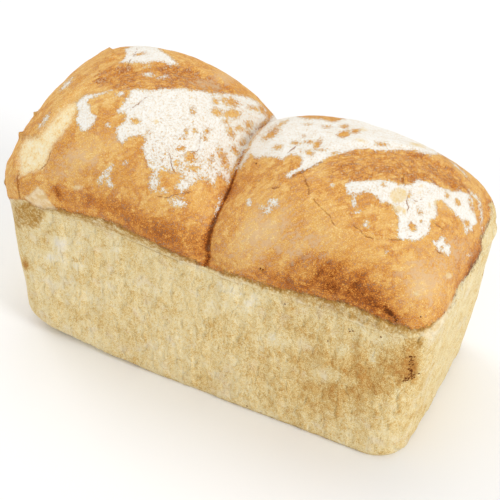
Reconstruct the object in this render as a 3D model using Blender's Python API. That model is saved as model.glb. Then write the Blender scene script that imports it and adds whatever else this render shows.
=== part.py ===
"""Split tin loaf: a straight-sided lower half shaped by its tin, and two domed halves above it.

Units are metres, +Z is up. +X runs along the loaf, and the front long side faces -Y.
The loaf stands on its flat base at z = 0, with the origin under the middle of its box.
"""
import bmesh
import bpy
import numpy as np

# Lower half, shaped by the tin
BASE_LENGTH = 0.215
BASE_WIDTH = 0.1016
RIM_HEIGHT = 0.0878
END_FLARE = 0.0084          # how far each end leans out between base and rim
SIDE_LEAN = -0.0008         # how far each long side leans in between base and rim
CORNER_RADIUS = {"left": 0.0175, "right": 0.0157}
BASE_ROUNDING = {"left": 0.0120, "right": 0.0015}
BASE_ROUNDING_RUN = (-1.0, -0.2)    # where it changes, as shares of half the length from the middle
CREASE_SAG = 0.0030         # the baked edge at the rim droops in the middle and on the right
SAG_RUN = (-0.6, 0.05)      # where the droop grows, as shares of half the length from the middle
SAG_RECOVERY = 0.8          # where it starts to rise again towards the right end

# Upper half: one dome each side of the cleft
DOMES = {
    "left": {"centre": (-0.0570, 0.0015), "length": 0.1138, "width": 0.1092, "height": 0.0602},
    "right": {"centre": (0.0500, 0.0009), "length": 0.1274, "width": 0.1028, "height": 0.0525},
}
DOME_WAIST = 0.008          # widest level of the domes, above the rim
DOME_TUCK = 0.33            # how far the domes tuck in below their widest level, 0 to 1
DOME_SQUARENESS = 6.5       # plan exponent at the waist, nearly a rectangle
DOME_ROUNDNESS = 2.1        # plan exponent at the top, nearly an ellipse
DOME_PROFILE = 2.02         # exponent of the domes' upright section
SHOULDER_CURVE = 0.020      # radius on which the tin's outline curves in above the rim
SHOULDER_BLEND = 0.003
CLEFT_PLACE = 0.004         # where the cleft between the domes meets the rim
CLEFT_CURVE = 0.002         # radius that takes the shoulder's place in the cleft
CLEFT_REACH = 0.020
CLEFT_CORE = 0.2            # share of the reach that keeps the cleft's own curve
CLEFT_BLEND = 0.0015
CLEFT_SWING = 0.0074        # how far the cleft turns towards the right at the front
CLEFT_SWING_RUN = (-0.034, 0.018)   # where it turns, from front to back
CLEFT_SWING_REACH = 0.060   # how far along the loaf the domes follow it

# Slashes: cuts made on the slant, which opened in the oven
SLASHES = [
    {"start": (-0.088, -0.027), "end": (-0.018, 0.024), "width": 0.019},
    {"start": (0.030, -0.026), "end": (0.103, 0.028), "width": 0.020},
]
SLASH_DEPTH = 0.0022
SLASH_LIP = 0.0010          # raised edge on the far side of each cut
# A slash's section, in half widths from its middle towards its far side
HOLLOW_FALL = (-1.0, 0.5)
HOLLOW_RISE = (0.6, 1.0)
LIP_RISE = (0.7, 1.1)
LIP_FALL = (1.1, 1.9)

# Uneven baked surface
LUMP_HEIGHT = 0.0004
LUMP_LENGTH = 0.045
LUMP_LENGTH_SPREAD = (0.7, 1.6)
LUMP_SEED = 7
LUMP_WAVES = 9
RELIEF_FADE = 0.015         # height above the rim over which slashes and lumps fade in

# Grid of the mesh: the side rows are split between the tin wall and the domes
COLUMNS = 44
DEPTH_COLUMNS = 24
WALL_ROWS = 9
DOME_ROWS = 16
COLUMN_CROWDING = 0.4       # draws columns together at the cleft and at the ends
WALL_ROW_POWER = 1.5        # draws wall rows together near the base
CAP_RISE = 0.042            # slope of the rays that reach the top of the domes
CAP_POWER = 1.2             # holds the slope back near the crease
RAY_REACH = 2.2
BISECTIONS = 32

CRUST_COLOUR = (0.66, 0.36, 0.12, 1.0)
CRUST_ROUGHNESS = 0.8

RIM_LENGTH = BASE_LENGTH + 2 * END_FLARE
RIM_WIDTH = BASE_WIDTH + 2 * SIDE_LEAN


def smooth_step(value, low, high):
    """Rises from 0 at low to 1 at high."""
    t = np.clip((value - low) / (high - low), 0.0, 1.0)
    return t * t * (3.0 - 2.0 * t)


def smooth_union(a, b, blend):
    """Joins two distance fields with a fillet of about the blend's size."""
    t = np.clip(0.5 + 0.5 * (b - a) / blend, 0.0, 1.0)
    return b * (1.0 - t) + a * t - blend * t * (1.0 - t)


def left_to_right(sizes, share):
    """A size that changes from the left end, share 0, to the right end, share 1."""
    return sizes["left"] + (sizes["right"] - sizes["left"]) * share


def crease_height(x):
    """Height of the baked edge where the dough met the tin's rim."""
    half = RIM_LENGTH / 2
    droop = smooth_step(x, SAG_RUN[0] * half, SAG_RUN[1] * half)
    recovery = smooth_step(x, SAG_RECOVERY * half, half)
    return RIM_HEIGHT - CREASE_SAG * droop * (1.0 - recovery)


def corner_radius(x):
    """Plan radius of the upright corners."""
    return left_to_right(CORNER_RADIUS, smooth_step(x, -RIM_LENGTH / 4, RIM_LENGTH / 4))


def rounded_outline(p, q, half_length, half_width, radius):
    """Maps the square |p|, |q| <= 1 on to a rectangle with round corners."""
    x, y = half_length * p, half_width * q
    inner_x = np.clip(x, radius - half_length, half_length - radius)
    inner_y = np.clip(y, radius - half_width, half_width - radius)
    across, along = (x - inner_x) / radius, (y - inner_y) / radius
    x = inner_x + radius * across * np.sqrt(1.0 - along ** 2 / 2)
    y = inner_y + radius * along * np.sqrt(1.0 - across ** 2 / 2)
    return x, y


def dome_field(x, y, z, dome):
    """Distance-like field of one dome, negative inside it."""
    rise = z - (RIM_HEIGHT + DOME_WAIST)
    tuck_depth = (RIM_HEIGHT + DOME_WAIST - crease_height(x)) / DOME_TUCK
    half_height = np.where(rise > 0.0, dome["height"] - DOME_WAIST, tuck_depth)
    level = np.clip(rise / half_height, 0.0, 1.0)
    exponent = DOME_ROUNDNESS + (DOME_SQUARENESS - DOME_ROUNDNESS) * (1.0 - level) ** 2
    u = np.abs(x - dome["centre"][0]) / (dome["length"] / 2)
    v = np.abs(y - dome["centre"][1]) / (dome["width"] / 2)
    plan = (u ** exponent + v ** exponent) ** (DOME_PROFILE / exponent)
    upright = np.abs(rise / half_height) ** DOME_PROFILE
    return ((plan + upright) ** (1.0 / DOME_PROFILE) - 1.0) * dome["height"]


def straight_place(x, y):
    """Where points of the turned cleft would lie if it ran straight across the loaf."""
    turn = CLEFT_SWING * (1.0 - smooth_step(y, *CLEFT_SWING_RUN))
    near = 1.0 - smooth_step(np.abs(x - CLEFT_PLACE), 0.0, CLEFT_SWING_REACH)
    return x - turn * near


def shoulder_field(x, y, z):
    """Field of the dough that leaves the rim with the tin's outline, then curves inwards."""
    radius = corner_radius(x)
    over_x = np.abs(x) - (RIM_LENGTH / 2 - radius)
    over_y = np.abs(y) - (RIM_WIDTH / 2 - radius)
    outside = np.hypot(np.maximum(over_x, 0.0), np.maximum(over_y, 0.0))
    side = outside + np.minimum(np.maximum(over_x, over_y), 0.0) - radius
    rise = np.maximum(z - crease_height(x), 0.0)
    away = smooth_step(np.abs(x - CLEFT_PLACE), CLEFT_CORE * CLEFT_REACH, CLEFT_REACH)
    curve = CLEFT_CURVE + (SHOULDER_CURVE - CLEFT_CURVE) * away
    return side + rise ** 2 / (2.0 * curve)


def slash_relief(x, y, slash):
    """Depth of one opened slash: a sharp lip on its far side, sloping back up on its near side."""
    start, end = np.array(slash["start"]), np.array(slash["end"])
    run = end - start
    length = np.hypot(*run)
    run /= length
    along = ((x - start[0]) * run[0] + (y - start[1]) * run[1]) / length
    across = (y - start[1]) * run[0] - (x - start[0]) * run[1]
    taper = np.sqrt(np.clip(4.0 * along * (1.0 - along), 0.0, 1.0))
    half_width = slash["width"] / 2 * taper + 1e-6
    place = across / half_width
    hollow = smooth_step(place, *HOLLOW_FALL) * (1.0 - smooth_step(place, *HOLLOW_RISE))
    lip = smooth_step(place, *LIP_RISE) * (1.0 - smooth_step(place, *LIP_FALL))
    return taper * (SLASH_LIP * lip - SLASH_DEPTH * hollow)


def lump_waves():
    """Directions, phases and lengths of the waves that make the surface uneven."""
    chance = np.random.default_rng(LUMP_SEED)
    directions = chance.normal(size=(LUMP_WAVES, 3))
    directions /= np.linalg.norm(directions, axis=1, keepdims=True)
    lengths = LUMP_LENGTH * chance.uniform(*LUMP_LENGTH_SPREAD, LUMP_WAVES)
    phases = chance.uniform(0.0, 2.0 * np.pi, LUMP_WAVES)
    return directions * (2.0 * np.pi / lengths)[:, None], phases


def lumps(x, y, z, waves):
    """Low, broad unevenness of the baked dough."""
    numbers, phases = waves
    angle = x[:, None] * numbers[:, 0] + y[:, None] * numbers[:, 1] + z[:, None] * numbers[:, 2]
    return LUMP_HEIGHT * np.sin(angle + phases).sum(axis=1) / np.sqrt(LUMP_WAVES / 2)


def crown_field(x, y, z, waves):
    """Field of the whole upper half."""
    straight = straight_place(x, y)
    left, right = (dome_field(straight, y, z, DOMES[side]) for side in ("left", "right"))
    domes = smooth_union(left, right, CLEFT_BLEND)
    body = smooth_union(domes, shoulder_field(x, y, z), SHOULDER_BLEND)
    above = smooth_step(z, RIM_HEIGHT, RIM_HEIGHT + RELIEF_FADE)
    relief = sum(slash_relief(x, y, slash) for slash in SLASHES) + lumps(x, y, z, waves)
    return body - above * relief


def wall_points(p, q, share):
    """Points of the tin wall, from the base at share 0 to the crease at share 1."""
    end_share = smooth_step(p, *BASE_ROUNDING_RUN)
    top = crease_height(p * RIM_LENGTH / 2)
    z = top * share ** WALL_ROW_POWER
    rounding = left_to_right(BASE_ROUNDING, end_share)
    below = np.clip(rounding - z, 0.0, rounding)
    inset = rounding - np.sqrt(rounding ** 2 - below ** 2)
    half_length = BASE_LENGTH / 2 + END_FLARE * z / RIM_HEIGHT - inset
    half_width = BASE_WIDTH / 2 + SIDE_LEAN * z / RIM_HEIGHT - inset
    x, y = rounded_outline(p, q, half_length, half_width, corner_radius(p * RIM_LENGTH / 2))
    return np.stack([x, y, z], axis=-1)


def crown_points(p, q, share, waves):
    """Points of the domes: rays from a spine inside the loaf meet the crown's surface."""
    edge_x, edge_y = rounded_outline(p, q, RIM_LENGTH / 2, RIM_WIDTH / 2, corner_radius(p * RIM_LENGTH / 2))
    spine_x = (RIM_LENGTH - RIM_WIDTH) / 2 * p
    low, high = crease_height(p * RIM_LENGTH / 2), RIM_HEIGHT + DOME_WAIST
    spine = np.stack([spine_x, np.zeros_like(p), low * (1.0 - share) + high * share], axis=-1)
    ray = np.stack([edge_x - spine_x, edge_y, CAP_RISE * share ** CAP_POWER], axis=-1)
    near, far = np.zeros_like(p), np.full_like(p, RAY_REACH)
    for _ in range(BISECTIONS):
        middle = (near + far) / 2
        point = spine + ray * middle[:, None]
        inside = crown_field(*point.T, waves) < 0.0
        near, far = np.where(inside, middle, near), np.where(inside, far, middle)
    return spine + ray * near[:, None]


def cube_grid(cells):
    """A cube of edge 2 whose edges along X, Y and Z are cut into the given numbers of cells."""
    mesh = bmesh.new()
    bmesh.ops.create_cube(mesh, size=2.0)
    for axis, count in enumerate(cells):
        edges = [e for e in mesh.edges if abs(e.verts[0].co[axis] - e.verts[1].co[axis]) > 1e-6]
        bmesh.ops.subdivide_edges(mesh, edges=edges, cuts=count - 1, use_grid_fill=True)
    return mesh


def join_base(mesh):
    """Makes the flat underside one face."""
    base = [face for face in mesh.faces if all(abs(v.co.z) < 1e-7 for v in face.verts)]
    bmesh.ops.dissolve_faces(mesh, faces=base, use_verts=False)


def shape_loaf(mesh):
    """Moves the cube grid's points on to the loaf's surface."""
    rows = WALL_ROWS + DOME_ROWS
    grid = np.array([vertex.co[:] for vertex in mesh.verts])
    p = grid[:, 0] - COLUMN_CROWDING * np.sin(2.0 * np.pi * grid[:, 0]) / (2.0 * np.pi)
    q = grid[:, 1]
    row = (grid[:, 2] + 1.0) / 2 * rows
    on_wall = row <= WALL_ROWS + 1e-3
    points = np.empty_like(grid)
    points[on_wall] = wall_points(p[on_wall], q[on_wall], row[on_wall] / WALL_ROWS)
    share = (row[~on_wall] - WALL_ROWS) / DOME_ROWS
    points[~on_wall] = crown_points(p[~on_wall], q[~on_wall], share, lump_waves())
    middle = (points[:, :2].max(axis=0) + points[:, :2].min(axis=0)) / 2
    points[:, :2] -= middle
    for vertex, point in zip(mesh.verts, points):
        vertex.co = point


def crust_material():
    """Golden baked crust."""
    material = bpy.data.materials.new("crust")
    material.use_nodes = True
    shader = material.node_tree.nodes["Principled BSDF"]
    shader.inputs["Base Color"].default_value = CRUST_COLOUR
    shader.inputs["Roughness"].default_value = CRUST_ROUGHNESS
    shader.inputs["Metallic"].default_value = 0.0
    return material


def make_loaf(collection):
    """Builds the loaf as one closed body."""
    grid = cube_grid((COLUMNS, DEPTH_COLUMNS, WALL_ROWS + DOME_ROWS))
    shape_loaf(grid)
    join_base(grid)
    bmesh.ops.recalc_face_normals(grid, faces=grid.faces[:])
    mesh = bpy.data.meshes.new("loaf")
    grid.to_mesh(mesh)
    grid.free()
    mesh.materials.append(crust_material())
    mesh.shade_smooth()
    loaf = bpy.data.objects.new("loaf", mesh)
    collection.objects.link(loaf)
    return loaf


def main():
    for item in list(bpy.data.objects):
        bpy.data.objects.remove(item)
    collection = bpy.data.collections.new("tin_loaf")
    bpy.context.scene.collection.children.link(collection)
    make_loaf(collection)


main()
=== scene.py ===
"""Split tin loaf, dressed: golden, floured domes above pale sides shaped by the tin.

Lengths are metres, or millimetres where a name ends in _mm. A name that ends in _px is a place on
the photograph's frame of 500 by 500. +Z is up, +X runs along the loaf, -Y is its front long side.
"""

import logging
import math
from dataclasses import dataclass
from enum import Enum
from typing import Iterable

import bmesh
import bpy
import numpy as np
from mathutils import Matrix, Vector


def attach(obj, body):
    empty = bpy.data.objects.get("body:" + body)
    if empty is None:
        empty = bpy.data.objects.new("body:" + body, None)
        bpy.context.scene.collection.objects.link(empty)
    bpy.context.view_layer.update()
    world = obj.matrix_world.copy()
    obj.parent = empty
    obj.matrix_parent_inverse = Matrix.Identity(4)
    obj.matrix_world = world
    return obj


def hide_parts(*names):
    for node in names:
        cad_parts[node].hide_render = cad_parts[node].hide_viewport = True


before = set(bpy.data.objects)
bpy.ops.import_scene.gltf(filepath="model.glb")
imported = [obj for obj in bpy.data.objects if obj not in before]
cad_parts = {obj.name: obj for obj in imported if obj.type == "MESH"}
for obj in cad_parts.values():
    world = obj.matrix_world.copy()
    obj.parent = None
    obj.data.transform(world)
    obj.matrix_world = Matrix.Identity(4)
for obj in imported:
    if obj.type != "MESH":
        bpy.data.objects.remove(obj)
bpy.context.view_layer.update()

MM = 0.001
log = logging.getLogger("tin_loaf")


def smooth_step(value: np.ndarray, low: float, high: float) -> np.ndarray:
    """Rises smoothly from 0 at low to 1 at high.

    Args:
        value: the numbers to weigh.
        low: where the rise starts.
        high: where the rise ends.

    Returns:
        The weights, from 0 to 1.
    """
    t = np.clip((value - low) / (high - low), 0.0, 1.0)
    return t * t * (3.0 - 2.0 * t)


def hump(value: np.ndarray, start: float, full: float, fall: float, end: float) -> np.ndarray:
    """Rises smoothly from 0 at start to 1 at full, and falls to 0 from fall to end.

    Args:
        value: the numbers to weigh.
        start: where the rise starts.
        full: where the rise ends.
        fall: where the fall starts.
        end: where the fall ends.

    Returns:
        The weights, from 0 to 1.
    """
    return smooth_step(value, start, full) * (1.0 - smooth_step(value, fall, end))


def smooth_union(a: np.ndarray, b: np.ndarray, blend: float) -> np.ndarray:
    """Joins two distance fields with a fillet.

    Args:
        a: one field, negative inside.
        b: the other field.
        blend: about the fillet's size.

    Returns:
        The field of both together.
    """
    t = np.clip(0.5 + 0.5 * (b - a) / blend, 0.0, 1.0)
    return b * (1.0 - t) + a * t - blend * t * (1.0 - t)


def linear_colour(hex_colour: str) -> tuple[float, float, float, float]:
    """Turns an sRGB colour into the linear one that shaders take.

    Args:
        hex_colour: six hex digits, with or without a leading hash.

    Returns:
        Linear red, green, blue and an alpha of 1.
    """
    digits = hex_colour.lstrip("#")
    channels = [int(digits[i:i + 2], 16) / 255.0 for i in (0, 2, 4)]
    linear = [c / 12.92 if c <= 0.04045 else ((c + 0.055) / 1.055) ** 2.4 for c in channels]
    return (linear[0], linear[1], linear[2], 1.0)


@dataclass(frozen=True)
class Viewpoint:
    """Where the photograph was taken from. Angles are degrees, focal_px is the lens in pixels."""

    azimuth: float = 25.157
    elevation: float = 40.852
    roll: float = 1.852
    distance: float = 0.77293
    aim: tuple[float, float, float] = (0.001873, -0.001452, 0.057843)
    focal_px: float = 1529.4
    frame_px: float = 500.0
    sensor_mm: float = 36.0

    def axes(self) -> tuple[np.ndarray, np.ndarray, np.ndarray]:
        """Gives the camera's directions.

        Returns:
            Right, up, and back from the loaf to the camera, each of length 1.
        """
        a, e, r = (math.radians(v) for v in (self.azimuth, self.elevation, self.roll))
        back = np.array([math.sin(a) * math.cos(e), -math.cos(a) * math.cos(e), math.sin(e)])
        level = np.array([math.cos(a), math.sin(a), 0.0])
        rise = np.cross(back, level)
        right = math.cos(r) * level + math.sin(r) * rise
        up = math.cos(r) * rise - math.sin(r) * level
        return right, up, back

    def eye(self) -> np.ndarray:
        """The camera's place."""
        return self.axes()[2] * self.distance + np.array(self.aim)

    def to_frame(self, points: np.ndarray) -> np.ndarray:
        """Finds where points of the loaf fall on the photograph.

        Args:
            points: rows of x, y and z.

        Returns:
            Rows of across and down, in pixels.
        """
        right, up, back = self.axes()
        ray = points - self.eye()
        depth = -(ray @ back)
        middle = self.frame_px / 2
        across = middle + self.focal_px * (ray @ right) / depth
        down = middle - self.focal_px * (ray @ up) / depth
        return np.stack([across, down], axis=1)

    def facing(self, points: np.ndarray, normals: np.ndarray) -> np.ndarray:
        """How squarely each point faces the camera, from -1 to 1."""
        ray = self.eye() - points
        return (ray * normals).sum(axis=1) / np.linalg.norm(ray, axis=1)

    def px_per_mm(self) -> float:
        """Pixels to a millimetre at the loaf."""
        return self.focal_px / self.distance * MM

    def make_camera(self) -> bpy.types.Object:
        """Creates the scene's camera.

        Returns:
            The camera object.
        """
        data = bpy.data.cameras.new("camera")
        data.sensor_width = self.sensor_mm
        data.sensor_fit = "HORIZONTAL"
        data.lens = self.focal_px * self.sensor_mm / self.frame_px
        camera = bpy.data.objects.new("camera", data)
        right, up, back = self.axes()
        turn = Matrix((right, up, back)).transposed().to_4x4()
        camera.matrix_world = Matrix.Translation(Vector(self.eye())) @ turn
        bpy.context.scene.collection.objects.link(camera)
        bpy.context.scene.camera = camera
        return camera


class Grain:
    """Smooth random unevenness in space, the same on every run."""

    # In cells: it keeps their edges off the planes through the loaf's middle
    shift: float = 0.37

    def __init__(self, seed: int, cells: int = 32) -> None:
        """Fills a cube of random numbers that repeats in every direction."""
        self.cells = cells
        self.numbers = np.random.default_rng(seed).uniform(-1.0, 1.0, (cells, cells, cells))

    def at(self, points: np.ndarray, size: float | tuple[float, float, float]) -> np.ndarray:
        """Reads the unevenness at points.

        Args:
            points: rows of x, y and z.
            size: the distance between two random numbers, the same or one for each direction.

        Returns:
            Numbers from -1 to 1.
        """
        place = points / np.asarray(size) + self.shift
        cell = np.floor(place).astype(int)
        t = place - cell
        t = t * t * (3.0 - 2.0 * t)
        total = np.zeros(len(points))
        for corner in np.ndindex(2, 2, 2):
            index = tuple(((cell + corner) % self.cells).T)
            share = np.where(np.array(corner) == 1, t, 1.0 - t).prod(axis=1)
            total += share * self.numbers[index]
        return total

    def layered(self, points: np.ndarray, size: float, layers: int) -> np.ndarray:
        """Adds layers, each half as large and half as strong as the one before."""
        return sum(self.at(points, size / 2 ** i) / 2 ** i for i in range(layers))


@dataclass(frozen=True)
class Ends:
    """A size that differs between the loaf's left and right ends."""

    left: float
    right: float

    def at(self, share: np.ndarray) -> np.ndarray:
        """The size at a share of the way from left to right."""
        return self.left + (self.right - self.left) * share


@dataclass(frozen=True)
class Dome:
    """One of the two domes that rose above the tin."""

    x: float
    y: float
    length: float
    width: float
    height: float


@dataclass(frozen=True)
class Slash:
    """A slanting cut in a dome's top that opened as the loaf rose."""

    start: tuple[float, float]
    end: tuple[float, float]
    width: float
    depth: float = 0.0022
    lip: float = 0.0010
    hollow_run: tuple[float, float, float, float] = (-1.0, 0.5, 0.6, 1.0)
    lip_run: tuple[float, float, float, float] = (0.7, 1.1, 1.1, 1.9)

    def place(self, x: np.ndarray, y: np.ndarray) -> tuple[np.ndarray, np.ndarray]:
        """Finds points in the cut's own measures.

        Args:
            x: places along the loaf.
            y: places across the loaf.

        Returns:
            The share along the cut, and the distance from its line, above 0 on the far side.
        """
        run = np.array(self.end) - np.array(self.start)
        length = math.hypot(*run)
        run = run / length
        along = ((x - self.start[0]) * run[0] + (y - self.start[1]) * run[1]) / length
        across = (y - self.start[1]) * run[0] - (x - self.start[0]) * run[1]
        return along, across

    def relief(self, x: np.ndarray, y: np.ndarray) -> np.ndarray:
        """Height of the opened cut: a lip on its far side, sloping back up on its near side.

        Args:
            x: places along the loaf.
            y: places across the loaf.

        Returns:
            Height above the dome.
        """
        along, across = self.place(x, y)
        taper = np.sqrt(np.clip(4.0 * along * (1.0 - along), 0.0, 1.0))
        place = across / (self.width / 2 * taper + 1e-6)
        raised = self.lip * hump(place, *self.lip_run)
        return taper * (raised - self.depth * hump(place, *self.hollow_run))


@dataclass(frozen=True)
class LoafForm:
    """The loaf's main form: sides shaped by the tin, two domes, the cleft and the slashes."""

    base_length: float = 0.215
    base_width: float = 0.1016
    rim_height: float = 0.0878
    end_flare: float = 0.0084
    side_lean: float = -0.0008
    corner: Ends = Ends(0.0175, 0.0157)
    base_rounding: Ends = Ends(0.0120, 0.0015)
    rounding_run: tuple[float, float] = (-1.0, -0.2)
    crease_sag: float = 0.0030
    sag_run: tuple[float, float, float, float] = (-0.6, 0.05, 0.8, 1.0)
    left_dome: Dome = Dome(-0.0570, 0.0015, 0.1138, 0.1092, 0.0602)
    right_dome: Dome = Dome(0.0500, 0.0009, 0.1274, 0.1028, 0.0525)
    waist: float = 0.008
    tuck: float = 0.33
    squareness: float = 6.5
    roundness: float = 2.1
    profile: float = 2.02
    shoulder_curve: float = 0.020
    shoulder_blend: float = 0.003
    cleft_place: float = 0.004
    cleft_curve: float = 0.002
    cleft_reach: tuple[float, float] = (0.004, 0.020)
    cleft_blend: float = 0.0015
    cleft_swing: float = 0.0074
    cleft_swing_run: tuple[float, float] = (-0.034, 0.018)
    cleft_swing_reach: float = 0.060
    left_slash: Slash = Slash((-0.088, -0.027), (-0.018, 0.024), 0.019)
    right_slash: Slash = Slash((0.030, -0.026), (0.103, 0.028), 0.020)
    relief_fade: float = 0.015
    lump_height: float = 0.0004
    lump_length: float = 0.045
    lump_spread: tuple[float, float] = (0.7, 1.6)
    lump_seed: int = 7
    lump_waves: int = 9
    cap_rise: float = 0.042
    cap_power: float = 1.2
    ray_reach: float = 2.2
    bisections: int = 26

    @property
    def rim_length(self) -> float:
        """Length at the tin's rim."""
        return self.base_length + 2 * self.end_flare

    @property
    def rim_width(self) -> float:
        """Width at the tin's rim."""
        return self.base_width + 2 * self.side_lean

    def crease(self, x: np.ndarray) -> np.ndarray:
        """Height of the baked edge where the dough met the tin's rim."""
        return self.rim_height - self.crease_sag * hump(x / (self.rim_length / 2), *self.sag_run)

    def corner_radius(self, x: np.ndarray) -> np.ndarray:
        """Plan radius of the upright corners."""
        return self.corner.at(smooth_step(x, -self.rim_length / 4, self.rim_length / 4))

    def outline(
        self, p: np.ndarray, q: np.ndarray, half: tuple[np.ndarray, np.ndarray], radius: np.ndarray
    ) -> tuple[np.ndarray, np.ndarray]:
        """Maps the square |p|, |q| <= 1 on to a rectangle with round corners.

        Args:
            p: places along the loaf, from -1 to 1.
            q: places across the loaf, from -1 to 1.
            half: half the rectangle's length and width.
            radius: the corners' radius.

        Returns:
            The places in metres, along and across.
        """
        x, y = half[0] * p, half[1] * q
        inner_x = np.clip(x, radius - half[0], half[0] - radius)
        inner_y = np.clip(y, radius - half[1], half[1] - radius)
        u, v = (x - inner_x) / radius, (y - inner_y) / radius
        x = inner_x + radius * u * np.sqrt(1.0 - v ** 2 / 2)
        y = inner_y + radius * v * np.sqrt(1.0 - u ** 2 / 2)
        return x, y

    def dome_field(self, x: np.ndarray, y: np.ndarray, z: np.ndarray, dome: Dome) -> np.ndarray:
        """Distance-like field of one dome.

        Args:
            x: places along the loaf.
            y: places across the loaf.
            z: heights.
            dome: which one.

        Returns:
            The field, negative inside the dome.
        """
        rise = z - (self.rim_height + self.waist)
        tuck_depth = (self.rim_height + self.waist - self.crease(x)) / self.tuck
        half_height = np.where(rise > 0.0, dome.height - self.waist, tuck_depth)
        level = np.clip(rise / half_height, 0.0, 1.0)
        power = self.roundness + (self.squareness - self.roundness) * (1.0 - level) ** 2
        u = np.abs(x - dome.x) / (dome.length / 2)
        v = np.abs(y - dome.y) / (dome.width / 2)
        plan = (u ** power + v ** power) ** (self.profile / power)
        upright = np.abs(rise / half_height) ** self.profile
        return ((plan + upright) ** (1.0 / self.profile) - 1.0) * dome.height

    def straight_place(self, x: np.ndarray, y: np.ndarray) -> np.ndarray:
        """Where points of the turned cleft would lie if it ran straight across the loaf.

        Args:
            x: places along the loaf.
            y: places across the loaf.

        Returns:
            Their new places along the loaf.
        """
        turn = self.cleft_swing * (1.0 - smooth_step(y, *self.cleft_swing_run))
        near = 1.0 - smooth_step(np.abs(x - self.cleft_place), 0.0, self.cleft_swing_reach)
        return x - turn * near

    def shoulder_field(self, x: np.ndarray, y: np.ndarray, z: np.ndarray) -> np.ndarray:
        """Field of the dough that leaves the rim with the tin's outline, then curves inwards.

        Args:
            x: places along the loaf.
            y: places across the loaf.
            z: heights.

        Returns:
            The field, negative inside the dough.
        """
        radius = self.corner_radius(x)
        over_x = np.abs(x) - (self.rim_length / 2 - radius)
        over_y = np.abs(y) - (self.rim_width / 2 - radius)
        outside = np.hypot(np.maximum(over_x, 0.0), np.maximum(over_y, 0.0))
        side = outside + np.minimum(np.maximum(over_x, over_y), 0.0) - radius
        rise = np.maximum(z - self.crease(x), 0.0)
        away = smooth_step(np.abs(x - self.cleft_place), *self.cleft_reach)
        curve = self.cleft_curve + (self.shoulder_curve - self.cleft_curve) * away
        return side + rise ** 2 / (2.0 * curve)

    def lumps(self, points: np.ndarray) -> np.ndarray:
        """Low, broad unevenness of the baked dough.

        Args:
            points: rows of x, y and z.

        Returns:
            Heights above the even form.
        """
        chance = np.random.default_rng(self.lump_seed)
        directions = chance.normal(size=(self.lump_waves, 3))
        directions /= np.linalg.norm(directions, axis=1, keepdims=True)
        lengths = self.lump_length * chance.uniform(*self.lump_spread, self.lump_waves)
        phases = chance.uniform(0.0, 2.0 * np.pi, self.lump_waves)
        numbers = directions * (2.0 * np.pi / lengths)[:, None]
        waves = np.sin(points @ numbers.T + phases).sum(axis=1)
        return self.lump_height * waves / math.sqrt(self.lump_waves / 2)

    def crown_field(self, points: np.ndarray) -> np.ndarray:
        """Field of the whole upper half.

        Args:
            points: rows of x, y and z.

        Returns:
            The field, negative inside the loaf.
        """
        x, y, z = points.T
        straight = self.straight_place(x, y)
        left = self.dome_field(straight, y, z, self.left_dome)
        right = self.dome_field(straight, y, z, self.right_dome)
        domes = smooth_union(left, right, self.cleft_blend)
        body = smooth_union(domes, self.shoulder_field(x, y, z), self.shoulder_blend)
        above = smooth_step(z, self.rim_height, self.rim_height + self.relief_fade)
        relief = self.left_slash.relief(x, y) + self.right_slash.relief(x, y) + self.lumps(points)
        return body - above * relief

    def wall_points(self, p: np.ndarray, q: np.ndarray, share: np.ndarray) -> np.ndarray:
        """Points of the tin sides.

        Args:
            p: places along the loaf, from -1 to 1.
            q: places across the loaf, from -1 to 1.
            share: 0 at the base and 1 at the crease.

        Returns:
            Rows of x, y and z.
        """
        z = self.crease(p * self.rim_length / 2) * share
        rounding = self.base_rounding.at(smooth_step(p, *self.rounding_run))
        below = np.clip(rounding - z, 0.0, rounding)
        inset = rounding - np.sqrt(rounding ** 2 - below ** 2)
        half_length = self.base_length / 2 + self.end_flare * z / self.rim_height - inset
        half_width = self.base_width / 2 + self.side_lean * z / self.rim_height - inset
        radius = self.corner_radius(p * self.rim_length / 2)
        x, y = self.outline(p, q, (half_length, half_width), radius)
        return np.stack([x, y, z], axis=1)

    def crown_points(self, p: np.ndarray, q: np.ndarray, share: np.ndarray) -> np.ndarray:
        """Points of the domes, where rays from a spine inside the loaf meet their surface.

        Args:
            p: places along the loaf, from -1 to 1.
            q: places across the loaf, from -1 to 1.
            share: 0 at the crease and 1 where the cap over the top begins.

        Returns:
            Rows of x, y and z.
        """
        half = (self.rim_length / 2, self.rim_width / 2)
        edge_x, edge_y = self.outline(p, q, half, self.corner_radius(p * self.rim_length / 2))
        spine_x = (self.rim_length - self.rim_width) / 2 * p
        low, high = self.crease(p * self.rim_length / 2), self.rim_height + self.waist
        spine = np.stack([spine_x, np.zeros_like(p), low * (1.0 - share) + high * share], axis=1)
        ray = np.stack([edge_x - spine_x, edge_y, self.cap_rise * share ** self.cap_power], axis=1)
        near, far = np.zeros_like(p), np.full_like(p, self.ray_reach)
        for _ in range(self.bisections):
            middle = (near + far) / 2
            inside = self.crown_field(spine + ray * middle[:, None]) < 0.0
            near, far = np.where(inside, middle, near), np.where(inside, far, middle)
        return spine + ray * near[:, None]

    def near_cleft(self, points: np.ndarray) -> np.ndarray:
        """Measures points from the floor of the cleft.

        Args:
            points: rows of x, y and z.

        Returns:
            Distances in metres of field.
        """
        x, y, z = points.T
        straight = self.straight_place(x, y)
        left = self.dome_field(straight, y, z, self.left_dome)
        return np.abs(left - self.dome_field(straight, y, z, self.right_dome))


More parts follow.
